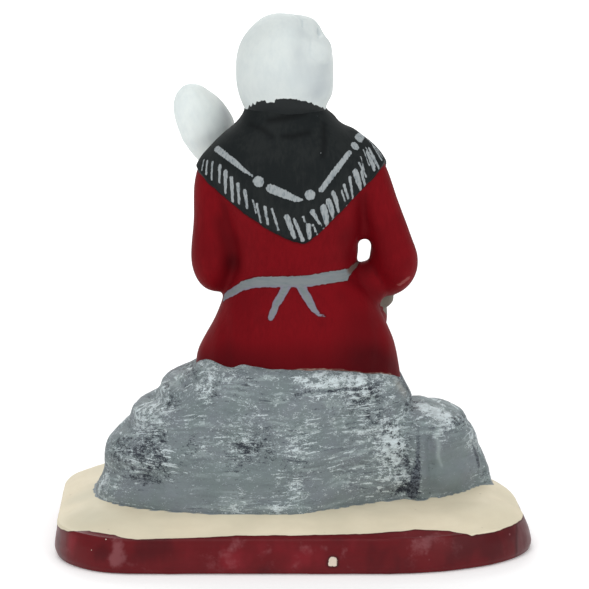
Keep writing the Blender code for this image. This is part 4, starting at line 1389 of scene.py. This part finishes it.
def shoe_paint(c):
    """Black shoe paint with a dull shine."""
    p = Finish("shoe_paint")
    clouds, streaks = p.grain((1.0, 0.4, 1.0), 0.4, 2.0)
    look = p.over(c.shoe, tone(58, 50, 48), clouds, 0.5)
    return p.done(look, p.line(streaks, 0.25, 0.28), height=streaks, depth=0.03)


def rock_paint(c):
    """Grey rock, brushed with near-black in its hollows and with white over its ridges, and a painted
    shadow in its cleft and cracks.
    """
    p = Finish("rock_paint")
    slant = p.add("ShaderNodeCombineXYZ", {"Z": p.map("slant")}).outputs[0]
    p.place = p.vector("ADD", p.place, slant)

    def apart(far):
        """The place, moved far enough for strokes of their own."""
        return p.vector("ADD", p.place, (far, far * 0.6, far * 0.4))

    def strokes(look, paint, far, along, across, amount, strength, ragged, softness=0.05):
        sockets = {"Amount": amount, "Ragged": ragged, "Softness": softness}
        stretch = (along, along, across)
        made = p.group(brush_lines(), Place=apart(far), Stretch=stretch, **sockets)
        return p.over(look, paint, made["Mask"], strength)

    relief = p.map("relief")
    height = p.rough(0.55, (0.55, 0.55, 1.2))
    clouds, streaks = p.grain((0.4, 0.4, 1.2), 0.8, 6.0)
    busy = p.math("SUBTRACT", 1.0, p.map("calm"))
    gloom = p.line(p.between(relief, 0.01, -0.16), 0.14, p.map("gloom"))
    gloom = p.math("MINIMUM", gloom, 0.52)
    gleam = p.line(p.between(relief, -0.02, 0.14), 0.10, p.map("gleam"))
    patches = p.between(p.noise(apart(71.0), 1.0, 3.0, 0.6), 0.36, 0.64)
    uneven = p.line(patches, 0.7, 0.55)
    clumped = p.times(gleam, p.math("SUBTRACT", 1.8, uneven))

    look = p.over(c.rock, tone(110, 120, 123), clouds)
    tint = p.noise(p.place, 0.25, 2.0)
    look = p.over(look, tone(118, 122, 132), p.between(tint, 0.50, 0.66), 0.3)
    look = p.over(look, tone(112, 126, 125), p.between(tint, 0.50, 0.36), 0.4)
    wide = p.times(busy, 0.62)
    look = strokes(look, tone(150, 163, 163), 11.0, 0.22, 1.6, 0.42, wide, 1.4, 0.18)
    look = strokes(look, tone(98, 108, 112), 23.0, 0.26, 2.0, 0.30, wide, 1.4, 0.12)
    dark, strong = p.line(gloom, 0.5, -0.02), p.times(busy, 0.8)
    look = strokes(look, tone(60, 66, 74), 41.0, 0.42, 4.6, dark, strong, 1.3)
    hollows, dark = p.math("SUBTRACT", 1.0, height), p.times(gloom, uneven)
    specks = p.dry(hollows, dark, 0.15, (0.75, 0.75, 1.15), 0.045, apart(37.0))
    look = p.over(look, c.rock_dark, specks, 0.92)
    frost = p.dry(height, p.line(clumped, 0.68, 0.11), 0.15, (0.65, 0.65, 1.15), 0.045)
    thick = p.line(p.between(p.noise(p.place, 0.8, 3.0), 0.35, 0.65), 0.35, 0.6)
    look = p.over(look, c.rock_light, frost, p.times(thick, p.line(busy, 0.7, 0.3)))
    light = p.line(clumped, 0.85, -0.08)
    look = strokes(look, tone(172, 184, 186), 3.0, 0.46, 3.0, light, wide, 1.6, 0.13)
    light, strong = p.line(clumped, 0.95, -0.09), p.times(busy, 0.75)
    look = strokes(look, c.rock_light, 53.0, 0.40, 4.2, light, strong, 1.5, 0.10)
    look = p.over(look, tone(166, 164, 156), p.map("beige"), 0.6)
    look = p.over(look, tone(172, 186, 184), p.map("streak"), 0.4)
    bits = p.dry(height, 0.48, 0.14, (0.75, 0.75, 1.1))
    # Painted shadow in the cleft, darker low down, and in the cracks; the same dark runs along a strip
    # at the boulder's right edge
    cleft = p.over(c.rock_dark, tone(126, 136, 144), bits, 0.6)
    look = p.over(look, cleft, p.area("wedge", 0.34, 0.32, 0.14), p.map("depth"))
    pits = p.noise(p.place, 3.4, 5.0, 0.65)
    coats = p.line(pits, 0.5, p.line(frost, 0.2, height))
    return p.done(look, p.line(streaks, 0.25, 0.45), 0.2, coats, 0.14)


def base_paint(c):
    """Matt cream ground and a gloss red edge, rubbed and chipped, with painted highlights and shade on
    the edge and some painted shade on the ground.
    """
    p = Finish("base_paint")
    clouds, streaks = p.grain((0.3, 0.3, 1.0), 0.8, 7.0)
    cream = p.over(c.ground, tone(212, 200, 174), clouds, 0.45)
    broad = p.between(p.noise(p.place, 0.12, 2.0), 0.4, 0.65)
    cream = p.over(cream, tone(206, 199, 175), broad, 0.4)
    cream = p.over(cream, tone(140, 128, 110), p.specks(3.4), 0.5)
    # The ground's left, darker and greener: partly its own tone, partly painted shade
    cream = p.over(cream, tone(186, 182, 160), p.map("dull"), 0.6)
    cream = p.over(cream, tone(126, 136, 140), p.area("stone", 0.14, 1.3, 0.08))
    cream = p.over(cream, tone(96, 84, 72), p.between(p.map("fleck"), 0.05, -0.05))

    red = p.over(c.rim, tone(74, 10, 18), clouds, 0.2)
    height = p.rough(2.2, (0.6, 0.6, 0.8))
    # Paler places on the edge: painted reflections and highlights, with rubbed wear
    sheen_and_rub = p.dry(height, p.map("smudge"), 1.2, (0.6, 0.6, 0.5), 0.10)
    red = p.over(red, c.rim_sheen_and_wear, sheen_and_rub, 0.48)
    # Painted light and shade on the edge's faces, with a random veil
    veil = p.noise(p.stretched(p.place, (0.35, 0.35, 0.22)), 1.0, 2.0, 0.5)
    panel = p.line(p.math("SUBTRACT", veil, 0.5), 1.6, p.map("panel"))
    chip = p.area("chip", 0.08, 0.6, 0.04)
    for paint, mask, strength in (
        (tone(138, 30, 42), p.between(panel, 0.05, 0.9), 0.5),
        (tone(60, 6, 12), p.between(panel, 0.0, -0.8), 0.6),
        (c.rim_sheen_and_wear, p.specks(2.3), 0.55),
        (tone(48, 8, 12), p.map("bite"), 0.75),
        (tone(216, 202, 186), chip, 1.0),
        # Painted sheen on the edge's turned ends, greyish brown
        (tone(92, 50, 53), p.map("facet"), 0.8),
        (tone(52, 8, 14), p.map("ridge"), 0.7),
        (tone(52, 6, 12), p.between(p.map("border"), -0.42, -0.08), 0.5),
    ):
        red = p.over(red, paint, mask, strength)
    edge = p.area("border", 0.10, 2.2)
    look = p.over(cream, red, edge)
    matt = p.line(streaks, 0.2, 0.5)
    gloss = p.line(sheen_and_rub, 0.2, p.line(streaks, 0.2, 0.28))
    gloss = p.math("MAXIMUM", gloss, p.times(chip, 0.7))
    rough = p.line(edge, p.math("SUBTRACT", gloss, matt), matt)
    coats = p.line(edge, 0.5, p.times(streaks, p.line(edge, -0.55, 0.7)))
    return p.done(look, rough, 0.18, coats, 0.08)


# Pieces


class SANTON_OT_gown(Operator):
    """Make the dress, apron and shawl"""

    bl_idname = "santon.gown"
    bl_label = "Gown"

    def execute(self, context):
        s = sizes()
        mould = Mould(s)
        makers = (dress_form, sleeve_form, collar_form)
        mesh = fused("gown", mould, makers, s.gown_grain, passes=22)
        self.refine_trim(mesh, mould)
        shawl = ease(0.0, 0.45, hem_rise(mould, points_of(mesh)))
        move_out(mesh, shawl * s.shawl_thickness)
        tree = surface_tree(mesh)
        self.carve(mesh, tree)
        self.mark(mesh, mould, tree)
        show(mesh, cloth_paint(colours()))
        return {"FINISHED"}

    def refine_trim(self, mesh, mould):
        """Doubles the mesh's fineness along the shawl's fringe and dashes."""
        rise = hem_rise(mould, points_of(mesh))
        bm = bmesh.new()
        bm.from_mesh(mesh)
        fine = [e for e in bm.edges if all(-0.8 < rise[v.index] < 7.6 for v in e.verts)]
        bmesh.ops.subdivide_edges(bm, edges=fine, cuts=1, use_grid_fill=True)
        bm.to_mesh(mesh)
        bm.free()
        set_points(mesh, softened(mesh, points_of(mesh), 2))

    def carve(self, mesh, tree):
        """Cuts the creases behind the arms and in the shawl and the skirt's faint pleats, and keeps
        the painted shade of creases, folds and the lower skirt.
        """
        points = points_of(mesh)
        back = points[:, 1] / MM
        across, down = picture_place(points)
        gap = seen_gap(tree, points, ARM_CREASES)
        fold = ease(0.7, -0.3, seen_gap(tree, points, SHAWL_CREASES))
        pleats = np.sin(across * 0.33 + np.sin(down * 0.05)) * ease(285, 315, down)
        pleats *= ease(2, 6, back)
        move_out(mesh, pleats * PLEAT - ease(1.6, -0.9, gap) * ARM_CREASE - fold * SHAWL_FOLD)
        # Painted shade: the dress darkens behind the arms, low on the skirt and at listed soft spots
        low = ease(332, 368, down) * (0.40 + 0.4 * np.abs(across - 292) / 100) * ease(0, 5, back)
        crease = np.maximum(ease(2.6, -1.4, gap) * 0.6, low) + soft_spots(tree, points, DRESS_SHADES)
        keep(mesh, crease=np.clip(crease, 0, 1), fold=fold)

    def mark(self, mesh, mould, tree):
        """Keeps where each paint lies."""
        points = points_of(mesh)
        x, y, z = mould.figure_grid(points)
        fringe, dashes = unseen_trim(tree, mould)
        for rows, fuller in ((DASHES, 1.05), (FRINGE, 1.06), (SHAWL_FLECKS, 1.0)):
            dashes += [seen_path(tree, row, fuller) for row in rows]
        left = -3.2 - 0.6 * np.maximum(4.0 - z, 0)
        right = -0.9 - 1.8 * np.maximum(6.3 - z, 0)
        side = np.maximum(np.where(x > 0, left, right), -9.0)
        apron = np.maximum.reduce([y - side, z - 9.4, mould.floor + 4.4 - z]) * mould.unit / MM
        rock = tree_from(formed(mould, (rock_form,)))
        line = ease(3.0, -1.0, x) * ease(4.0, 6.0, y)
        keep(
            mesh,
            trim=stroke_gap(points, fringe + dashes),
            hem=-hem_rise(mould, points),
            string=self.string_gap(points, mould, tree),
            strap=ease(0.5, -0.2, seen_gap(tree, points, STRAP)) * ease(-4, 0, y),
            lilac=ease(282.5, 287, picture_place(points)[1]) * ease(-2, 2, y),
            apron=np.where(z > 10.2, 5.0, apron),
            bare=gap_to(rock, points, 1.5) - 0.24 * line + (1 - line) * 0.4,
            # the right elbow's paler edge: wear and a painted highlight
            worn=soft_spots(tree, points, ELBOW_WEAR_AND_HIGHLIGHT),
        )
        keep_relief(mesh)

    def string_gap(self, points, mould, tree):
        """Distance in mm to the apron's string, which runs level round the front."""
        starts = [mould.figure(x, -40, 9.8) for x in np.linspace(-7.5, 7.5, 9)]
        front = [(tree.ray_cast(start, Vector((0, 1, 0)))[0], 0.7) for start in starts]
        return stroke_gap(points, [*(seen_path(tree, row) for row in STRING), front])


class SANTON_OT_bonnet(Operator):
    """Make the bonnet with its gathers"""

    bl_idname = "santon.bonnet"
    bl_label = "Bonnet"

    def execute(self, context):
        s = sizes()
        mould = Mould(s)
        mesh = fused("bonnet", mould, (bonnet_form,), s.head_grain, passes=6)
        tree = surface_tree(mesh)
        points = points_of(mesh)
        crease = ease(2.2, -1.0, seen_gap(tree, points, BONNET_CREASES))
        notch = ease(0.5, -0.3, seen_gap(tree, points, BONNET_NOTCHES))
        pressed = noise_at(points, 3.4, 2.0) * PRESSED + noise_at(points, 1.5, 8.0) * DAB
        back = ease(-1.0, 2.0, mould.figure_grid(points)[1])
        ruffle = self.gathers(mould, points) * (1 - back)
        move_out(mesh, ruffle + pressed * back - crease * BONNET_CREASE - notch * NOTCH)
        shade = crease * 0.16 + soft_spots(tree, points, BONNET_SHADES)
        keep(mesh, crease=shade, neck=self.neck_gap(points_of(mesh), back))
        keep_relief(mesh)
        show(mesh, white_paint("bonnet_paint", colours(), (1.0, 1.0, 0.5), 0.7))
        return {"FINISHED"}

    def neck_gap(self, points, back):
        """Height in mm of each point above the shawl's black paint, which runs up under the bonnet."""
        across, down = picture_place(points)
        gap = (np.interp(across, *np.transpose(NECK_EDGE)) - down) * PIXEL
        return gap * back + 3.0 * (1 - back)

    def gathers(self, mould, points):
        """Small pleats that run back from the edge round the face."""
        x, y, z = mould.head_grid(points)
        turn = np.arctan2(z, x)
        outer = ease(4.9, 5.8, np.hypot(x, z - 0.2))
        return GATHER * np.sin(turn * 34 + 1.5 * np.sin(turn * 5)) * ease(-2.2, -4.0, y) * outer


class SANTON_OT_face(Operator):
    """Make the face"""

    bl_idname = "santon.face"
    bl_label = "Face"

    def execute(self, context):
        s = sizes()
        mould = Mould(s)
        mesh = fused("face", mould, (face_form,), s.hand_grain, passes=5)
        x, y, z = mould.head_grid(points_of(mesh))
        side = np.abs(x)
        inner = np.exp(-((side - 1.0) ** 2 + (z + 0.2) ** 2) / 0.30)
        under_brow = np.exp(-((side - 2.3) ** 2 / 0.8 + (z - 0.25) ** 2 / 0.10))
        mouth = ease(0.22, 0.0, np.abs(z - self.mouth_line(x))) * ease(1.6, 1.2, side)
        depth = inner * EYE_CORNER + under_brow * EYELID + mouth * LIPS_MEET
        move_out(mesh, ease(-3.0, -4.5, y) * -depth)
        self.mark(mesh, mould)
        keep_relief(mesh)
        show(mesh, skin_paint(colours()))
        return {"FINISHED"}

    def mouth_line(self, x):
        """Height on the head's grid where the lips meet, a little higher at its ends."""
        return -4.34 + 0.11 * (x / 1.3) ** 2

    def mark(self, mesh, mould):
        """Keeps where each paint lies: signed distances on the head's grid, seen from the front."""
        x, y, z = mould.head_grid(points_of(mesh))
        side = np.abs(x)
        across = (side - 1.98) / 0.92
        arch = 1 - across**2
        lid, under = -0.50 + 0.34 * arch, -0.50 - 0.25 * arch
        eye = np.maximum(z - lid, under - z)
        bow = 1 - (x / 1.3) ** 2
        dip = 0.10 * np.exp(-((x / 0.22) ** 2))
        line = self.mouth_line(x)
        brow = np.abs(z - 1.02 + 0.13 * (side - 2.1) ** 2) - 0.13 + 0.035 * np.abs(side - 1.6)
        marks = {
            "eye": eye,
            "iris": np.maximum(np.hypot(side - 1.98, z + 0.42) - 0.33, eye + 0.02),
            "lash": np.maximum(np.abs(z - lid) - 0.05, np.abs(across) - 1.06),
            "brow": np.maximum(brow, np.abs(side - 2.2) - 1.25),
            "lips": np.maximum(z - line - 0.33 * bow + dip, line - 0.38 * bow - z),
            "mouth": np.maximum(np.abs(z - line) - 0.03, side - 1.3),
        }
        per_unit = mould.unit / MM
        for name, gap in marks.items():
            keep(mesh, **{name: np.where(y < -3, gap * per_unit, UNPAINTED)})
        parting = 0.35 * ease(0.5, 0, side)
        cheeks = np.exp(-((side - 2.7) ** 2 + (z + 2.4) ** 2) / 1.6)
        keep(mesh, hair=(3.3 - 0.13 * x**2 + parting - z) * per_unit, blush=cheeks * (y < -2))


class SANTON_OT_hands(Operator):
    """Make both hands"""

    bl_idname = "santon.hands"
    bl_label = "Hands"

    def execute(self, context):
        s = sizes()
        mesh = fused("hands", Mould(s), (hands_form,), s.hand_grain, passes=4)
        for name in ("hair", "lips", "mouth", "eye", "iris", "lash", "brow"):
            keep(mesh, **{name: UNPAINTED})
        keep(mesh, blush=0.0)
        keep_relief(mesh)
        show(mesh, bpy.data.materials.get("skin_paint") or skin_paint(colours()))
        return {"FINISHED"}


class SANTON_OT_tools(Operator):
    """Make the distaff with its wool, and the spindle"""

    bl_idname = "santon.tools"
    bl_label = "Distaff, Wool and Spindle"

    def execute(self, context):
        s, c = sizes(), colours()
        mould = Mould(s)
        wood = wood_paint(c)
        for name, maker in (("distaff", distaff_form), ("spindle", spindle_form)):
            mesh = fused(name, mould, (maker,), s.hand_grain, passes=3)
            x = mould.figure_grid(points_of(mesh))[0]
            keep(mesh, thread=np.abs(x + 1.6) - 1.7 if name == "spindle" else UNPAINTED)
            keep_relief(mesh)
            show(mesh, wood)
        mesh = fused("wool", mould, (wool_form,), s.head_grain, passes=5)
        tree = surface_tree(mesh)
        points = points_of(mesh)
        dent = ease(0.9, -0.5, seen_gap(tree, points, WOOL_CREASE))
        move_out(mesh, self.strands(mould, points) * STRAND - dent * WOOL_DENT)
        keep(mesh, crease=dent * 0.2 + soft_spots(tree, points, WOOL_SHADES), neck=UNPAINTED)
        keep_relief(mesh)
        show(mesh, white_paint("wool_paint", c, (1.0, 1.0, 0.35), 0.6, lift=1.20))
        return {"FINISHED"}

    def strands(self, mould, points):
        """Soft strands that run up the wool, with a slight twist."""
        axis = np.array((DISTAFF_TOP - DISTAFF_FOOT).normalized())
        grid = mould.figure_grid(points).T - np.array(DISTAFF_TOP)
        along = grid @ axis
        out = grid - along[:, None] * axis
        turn = np.arctan2(out[:, 1], out[:, 0])
        return np.sin(turn * 15 + along * 0.25 + 1.2 * np.sin(along * 0.7 + turn * 2))


class SANTON_OT_shoes(Operator):
    """Make the shoes"""

    bl_idname = "santon.shoes"
    bl_label = "Shoes"

    def execute(self, context):
        s = sizes()
        mesh = fused("shoes", Mould(s), (shoe_form,), s.hand_grain, passes=3)
        show(mesh, shoe_paint(colours()))
        return {"FINISHED"}


class SANTON_OT_rock(Operator):
    """Make the rock she sits on"""

    bl_idname = "santon.rock"
    bl_label = "Rock"

    def execute(self, context):
        s = sizes()
        mould = Mould(s)
        mesh = fused("rock", mould, (rock_form,), s.rock_grain, passes=6)
        points = points_of(mesh)
        beds = noise_at(points, 4.5, 3.0, (0.45, 0.45, 1.5))
        lumps = noise_at(points, 1.9, 9.0, (0.8, 0.8, 1.2))
        pits = noise_at(points, 0.75, 5.0)
        move_out(mesh, beds * BED + lumps * LUMP + pits * PIT)
        tree = surface_tree(mesh)
        points = points_of(mesh)
        cut = ease(0.35, -0.20, seen_gap(tree, points, CRACKS))
        dent = ease(1.3, -0.5, seen_gap(tree, points, DENTS))
        move_out(mesh, cut * -CRACK - dent * ROCK_DENT)
        self.mark(mesh, tree, cut)
        keep_relief(mesh)
        show(mesh, rock_paint(colours()))
        return {"FINISHED"}

    def mark(self, mesh, tree, cut):
        """Keeps where each paint lies, by the view from behind and at random elsewhere."""
        points = points_of(mesh)
        across, down = picture_place(points)
        behind = ease(4, 9, points[:, 1] / MM)
        unseen = (1 - behind) * 0.4
        drift = noise_at(points, 6.0, 1.0, (0.7, 0.7, 1.1))
        calm = np.clip(soft_spots(tree, points, CALM), 0, 1)
        gloom = soft_spots(tree, points, GLOOM) + unseen * ease(0.05, 0.5, drift) + 0.15
        gleam = soft_spots(tree, points, GLEAM) + unseen * ease(0.0, -0.45, drift) + 0.20
        # Painted shadow in the cleft, darkest low down, and in the cracks; the same dark runs along a
        # strip at the boulder's right edge
        wedge = np.maximum(seen_gap(tree, points, CLEFT), (across - CLEFT_END) * PIXEL)
        lines = seen_gap(tree, points, (*CRACKS, BOULDER_STRIP))
        beyond = np.maximum(points[:, 0] / MM - 12.5, 0)
        keep(
            mesh,
            calm=calm,
            # The cut cracks are darker: painted shade
            gloom=np.minimum(gloom, 0.54) * (1 - calm * 0.6) + cut * 0.35,
            gleam=gleam * (1 - cut) * (1 - calm * 0.6),
            wedge=np.where(points[:, 1] > -3 * MM, np.minimum(wedge, lines), 3.0),
            depth=np.where(lines < wedge, 0.85, 0.40 + 0.60 * ease(424, 462, down)),
            beige=soft_spots(tree, points, BEIGE),
            streak=ease(0.30, -0.15, seen_gap(tree, points, (STREAK,))),
            slant=0.55 * beyond**2 / (beyond + 3) * ease(436, 400, down) * behind,
        )


class SANTON_OT_base(Operator):
    """Make the base with its ground and its edge"""

    bl_idname = "santon.base"
    bl_label = "Base"

    def execute(self, context):
        mould = Mould(sizes())
        mesh, climb = base_mesh(mould)
        points = points_of(mesh)
        tree = surface_tree(mesh)
        sway = noise_at(points, 9.0, 2.0, (1, 1, 0.5))
        dimple = noise_at(points, 2.6, 6.0)
        sunk = np.abs(sway) * SWAY + np.abs(dimple) * DIMPLE
        chips = [[(seen(tree, x, y), r) for x, y, r in row] for row in CHIPS]
        bite = ease(0.12, -0.35, stroke_gap(points, chips[:1]))
        move_out(mesh, -(sunk + bite * CHIP))
        points = points_of(mesh)
        across = picture_place(points)[0]
        drift = noise_at(points, 5.0, 4.0, (1, 1, 1.6))
        front = ease(2, -4, points[:, 1] / MM)
        behind = ease(-4, 0, points[:, 1] / MM)
        rock = tree_from(formed(mould, (rock_form,)))
        top = points[:, 2] > mould.band * 0.9
        stone = np.full(len(points), 3.0)
        stone[top] = gap_to(rock, points[top], 3.0)
        # Painted sheen on the edge's turned ends, greyish brown and fainter at the left
        end_sheen = 0.45 * ease(67.0, 65.0, across) + ease(516.5, 517.5, across)
        # Paler places on the edge: painted reflections and highlights, with rubbed wear
        sheen_and_rub = soft_spots(tree, points, SHEEN_AND_SMUDGES) + front * 0.4 * ease(0.05, 0.5, drift) + 0.06
        keep(
            mesh,
            chip=stroke_gap(points, chips),
            bite=ease(0.34, 0.12, stroke_gap(points, chips[:1])),
            panel=soft_spots(tree, points, LIT_AND_SHADED_PANELS),
            dull=soft_spots(tree, points, GROUND_TONE_AND_SHADE),
            smudge=sheen_and_rub,
            border=self.border_gap(points, climb, tree, mould),
            stone=stone - 0.32,
            fleck=stroke_gap(points, [[(seen(tree, 176.5, 523.5), 0.13)]]),
            facet=end_sheen * behind,
            ridge=np.exp(-(((across - 516.5) / 1.3) ** 2)) * behind,
        )
        show(mesh, base_paint(colours()))
        return {"FINISHED"}

    def border_gap(self, points, climb, tree, mould):
        """How far in mm each point lies up the base's profile from the edge of the red paint."""
        found = [seen(tree, x, y) for x, y in BORDER]
        turns = np.array([math.atan2(p.y / mould.half_depth, p.x / mould.half_width) for p in found])
        order = np.argsort(turns)
        nearest = [np.argmin(np.linalg.norm(points - np.array(p), axis=1)) for p in found]
        turns, levels = turns[order], climb[nearest][order]
        turn = np.arctan2(points[:, 1] / mould.half_depth, points[:, 0] / mould.half_width)
        behind = np.interp(turn, turns, levels)
        other = mould.band / MM - 0.1 + 0.22 * np.sin(turn * 7 + 1) + 0.14 * np.sin(turn * 13)
        known = ease(turns[0] - 0.15, turns[0] + 0.05, turn)
        known *= ease(turns[-1] + 0.15, turns[-1] - 0.05, turn)
        return climb - (other + (behind - other) * known)


class SANTON_OT_stage(Operator):
    """Make the floor, the lights and the camera"""

    bl_idname = "santon.stage"
    bl_label = "Stage"

    def execute(self, context):
        context.scene.view_settings.view_transform = "Standard"
        sheet = self.paper(colours().floor)
        self.sky(context.scene)
        self.soft_light("key", (0.24, 0.54, 0.64), 0.40, 1.55)
        self.soft_light("fill", (-0.52, 0.62, 0.34), 0.60, 1.35)
        self.soft_light("front", (0.10, -0.75, 0.50), 0.60, 3.0)
        self.soft_light("top", (0.0, 0.05, 0.95), 0.50, 1.1)
        eye, ahead, _, _ = view_axes()
        lens = bpy.data.cameras.new("camera")
        lens.sensor_width = FILM_WIDTH
        lens.lens = FILM_WIDTH * VIEW_DISTANCE / VIEW_SPAN
        lens.clip_start = 0.01
        context.scene.camera = placed("camera", lens, eye, ahead)
        return {"FINISHED"}

    def paper(self, pale):
        """The floor: a round sheet of pale paper that glows faintly further out."""
        turns = [math.tau * i / 64 for i in range(64)]
        disc = bpy.data.meshes.new("floor")
        disc.from_pydata([(4 * math.cos(a), 4 * math.sin(a), 0) for a in turns], [], [range(64)])
        p = Finish("floor_paper")
        shade = p.between(p.noise(p.place, 0.02, 2.0), 0.3, 0.7)
        away = p.add("ShaderNodeVectorMath", {0: p.place}, operation="LENGTH").outputs["Value"]
        dim, bright = (0.16, 0.16, 0.16, 1), (0.5, 0.5, 0.5, 1)
        p.feed(p.shader["Emission Color"], p.over(dim, bright, p.between(away, 90.0, 500.0)))
        p.shader["Emission Strength"].default_value = 1.0
        disc.materials.append(p.done(p.over(pale, tone(246, 246, 247), shade, 0.1), 0.9, 0.1))
        return placed("floor", disc)

    def sky(self, scene):
        """A white surround, dimmer on the figurine than in the picture."""
        scene.world = bpy.data.worlds.new("studio")
        scene.world.use_nodes = True
        p = Paint(scene.world.node_tree)
        shown = p.add("ShaderNodeLightPath").outputs["Is Camera Ray"]
        white = p.tree.nodes["Background"].inputs
        white["Color"].default_value = (1, 1, 1, 1)
        p.feed(white["Strength"], p.line(shown, 0.43, 0.57))

    def soft_light(self, name, place, size, power):
        """A square soft light that faces the figurine."""
        lamp = bpy.data.lights.new(name, "AREA")
        lamp.size, lamp.energy = size, power
        placed(name, lamp, place, VIEW_TARGET - Vector(place))


class VIEW3D_PT_santon(Panel):
    """Sizes, colours and pieces of the santon"""

    bl_label = "Santon"
    bl_space_type = "VIEW_3D"
    bl_region_type = "UI"
    bl_category = "Santon"

    def draw(self, context):
        for group in (context.scene.santon_sizes, context.scene.santon_colours):
            column = self.layout.column()
            for name in group.__annotations__:
                column.prop(group, name)
        for piece in PIECES:
            self.layout.operator(piece.bl_idname)


PIECES = (
    SANTON_OT_gown,
    SANTON_OT_bonnet,
    SANTON_OT_face,
    SANTON_OT_hands,
    SANTON_OT_tools,
    SANTON_OT_shoes,
    SANTON_OT_rock,
    SANTON_OT_base,
    SANTON_OT_stage,
)
CLASSES = (SantonSizes, SantonColours, *PIECES, VIEW3D_PT_santon)


def register():
    for each in CLASSES:
        bpy.utils.register_class(each)
    bpy.types.Scene.santon_sizes = PointerProperty(type=SantonSizes)
    bpy.types.Scene.santon_colours = PointerProperty(type=SantonColours)


def unregister():
    del bpy.types.Scene.santon_colours
    del bpy.types.Scene.santon_sizes
    for each in reversed(CLASSES):
        bpy.utils.unregister_class(each)


def main():
    register()
    for piece in PIECES:
        group, name = piece.bl_idname.split(".")
        made = getattr(getattr(bpy.ops, group), name)()
        if made != {"FINISHED"}:
            raise RuntimeError(f"{piece.bl_label} wasn't made")


if __name__ == "__main__":
    main()
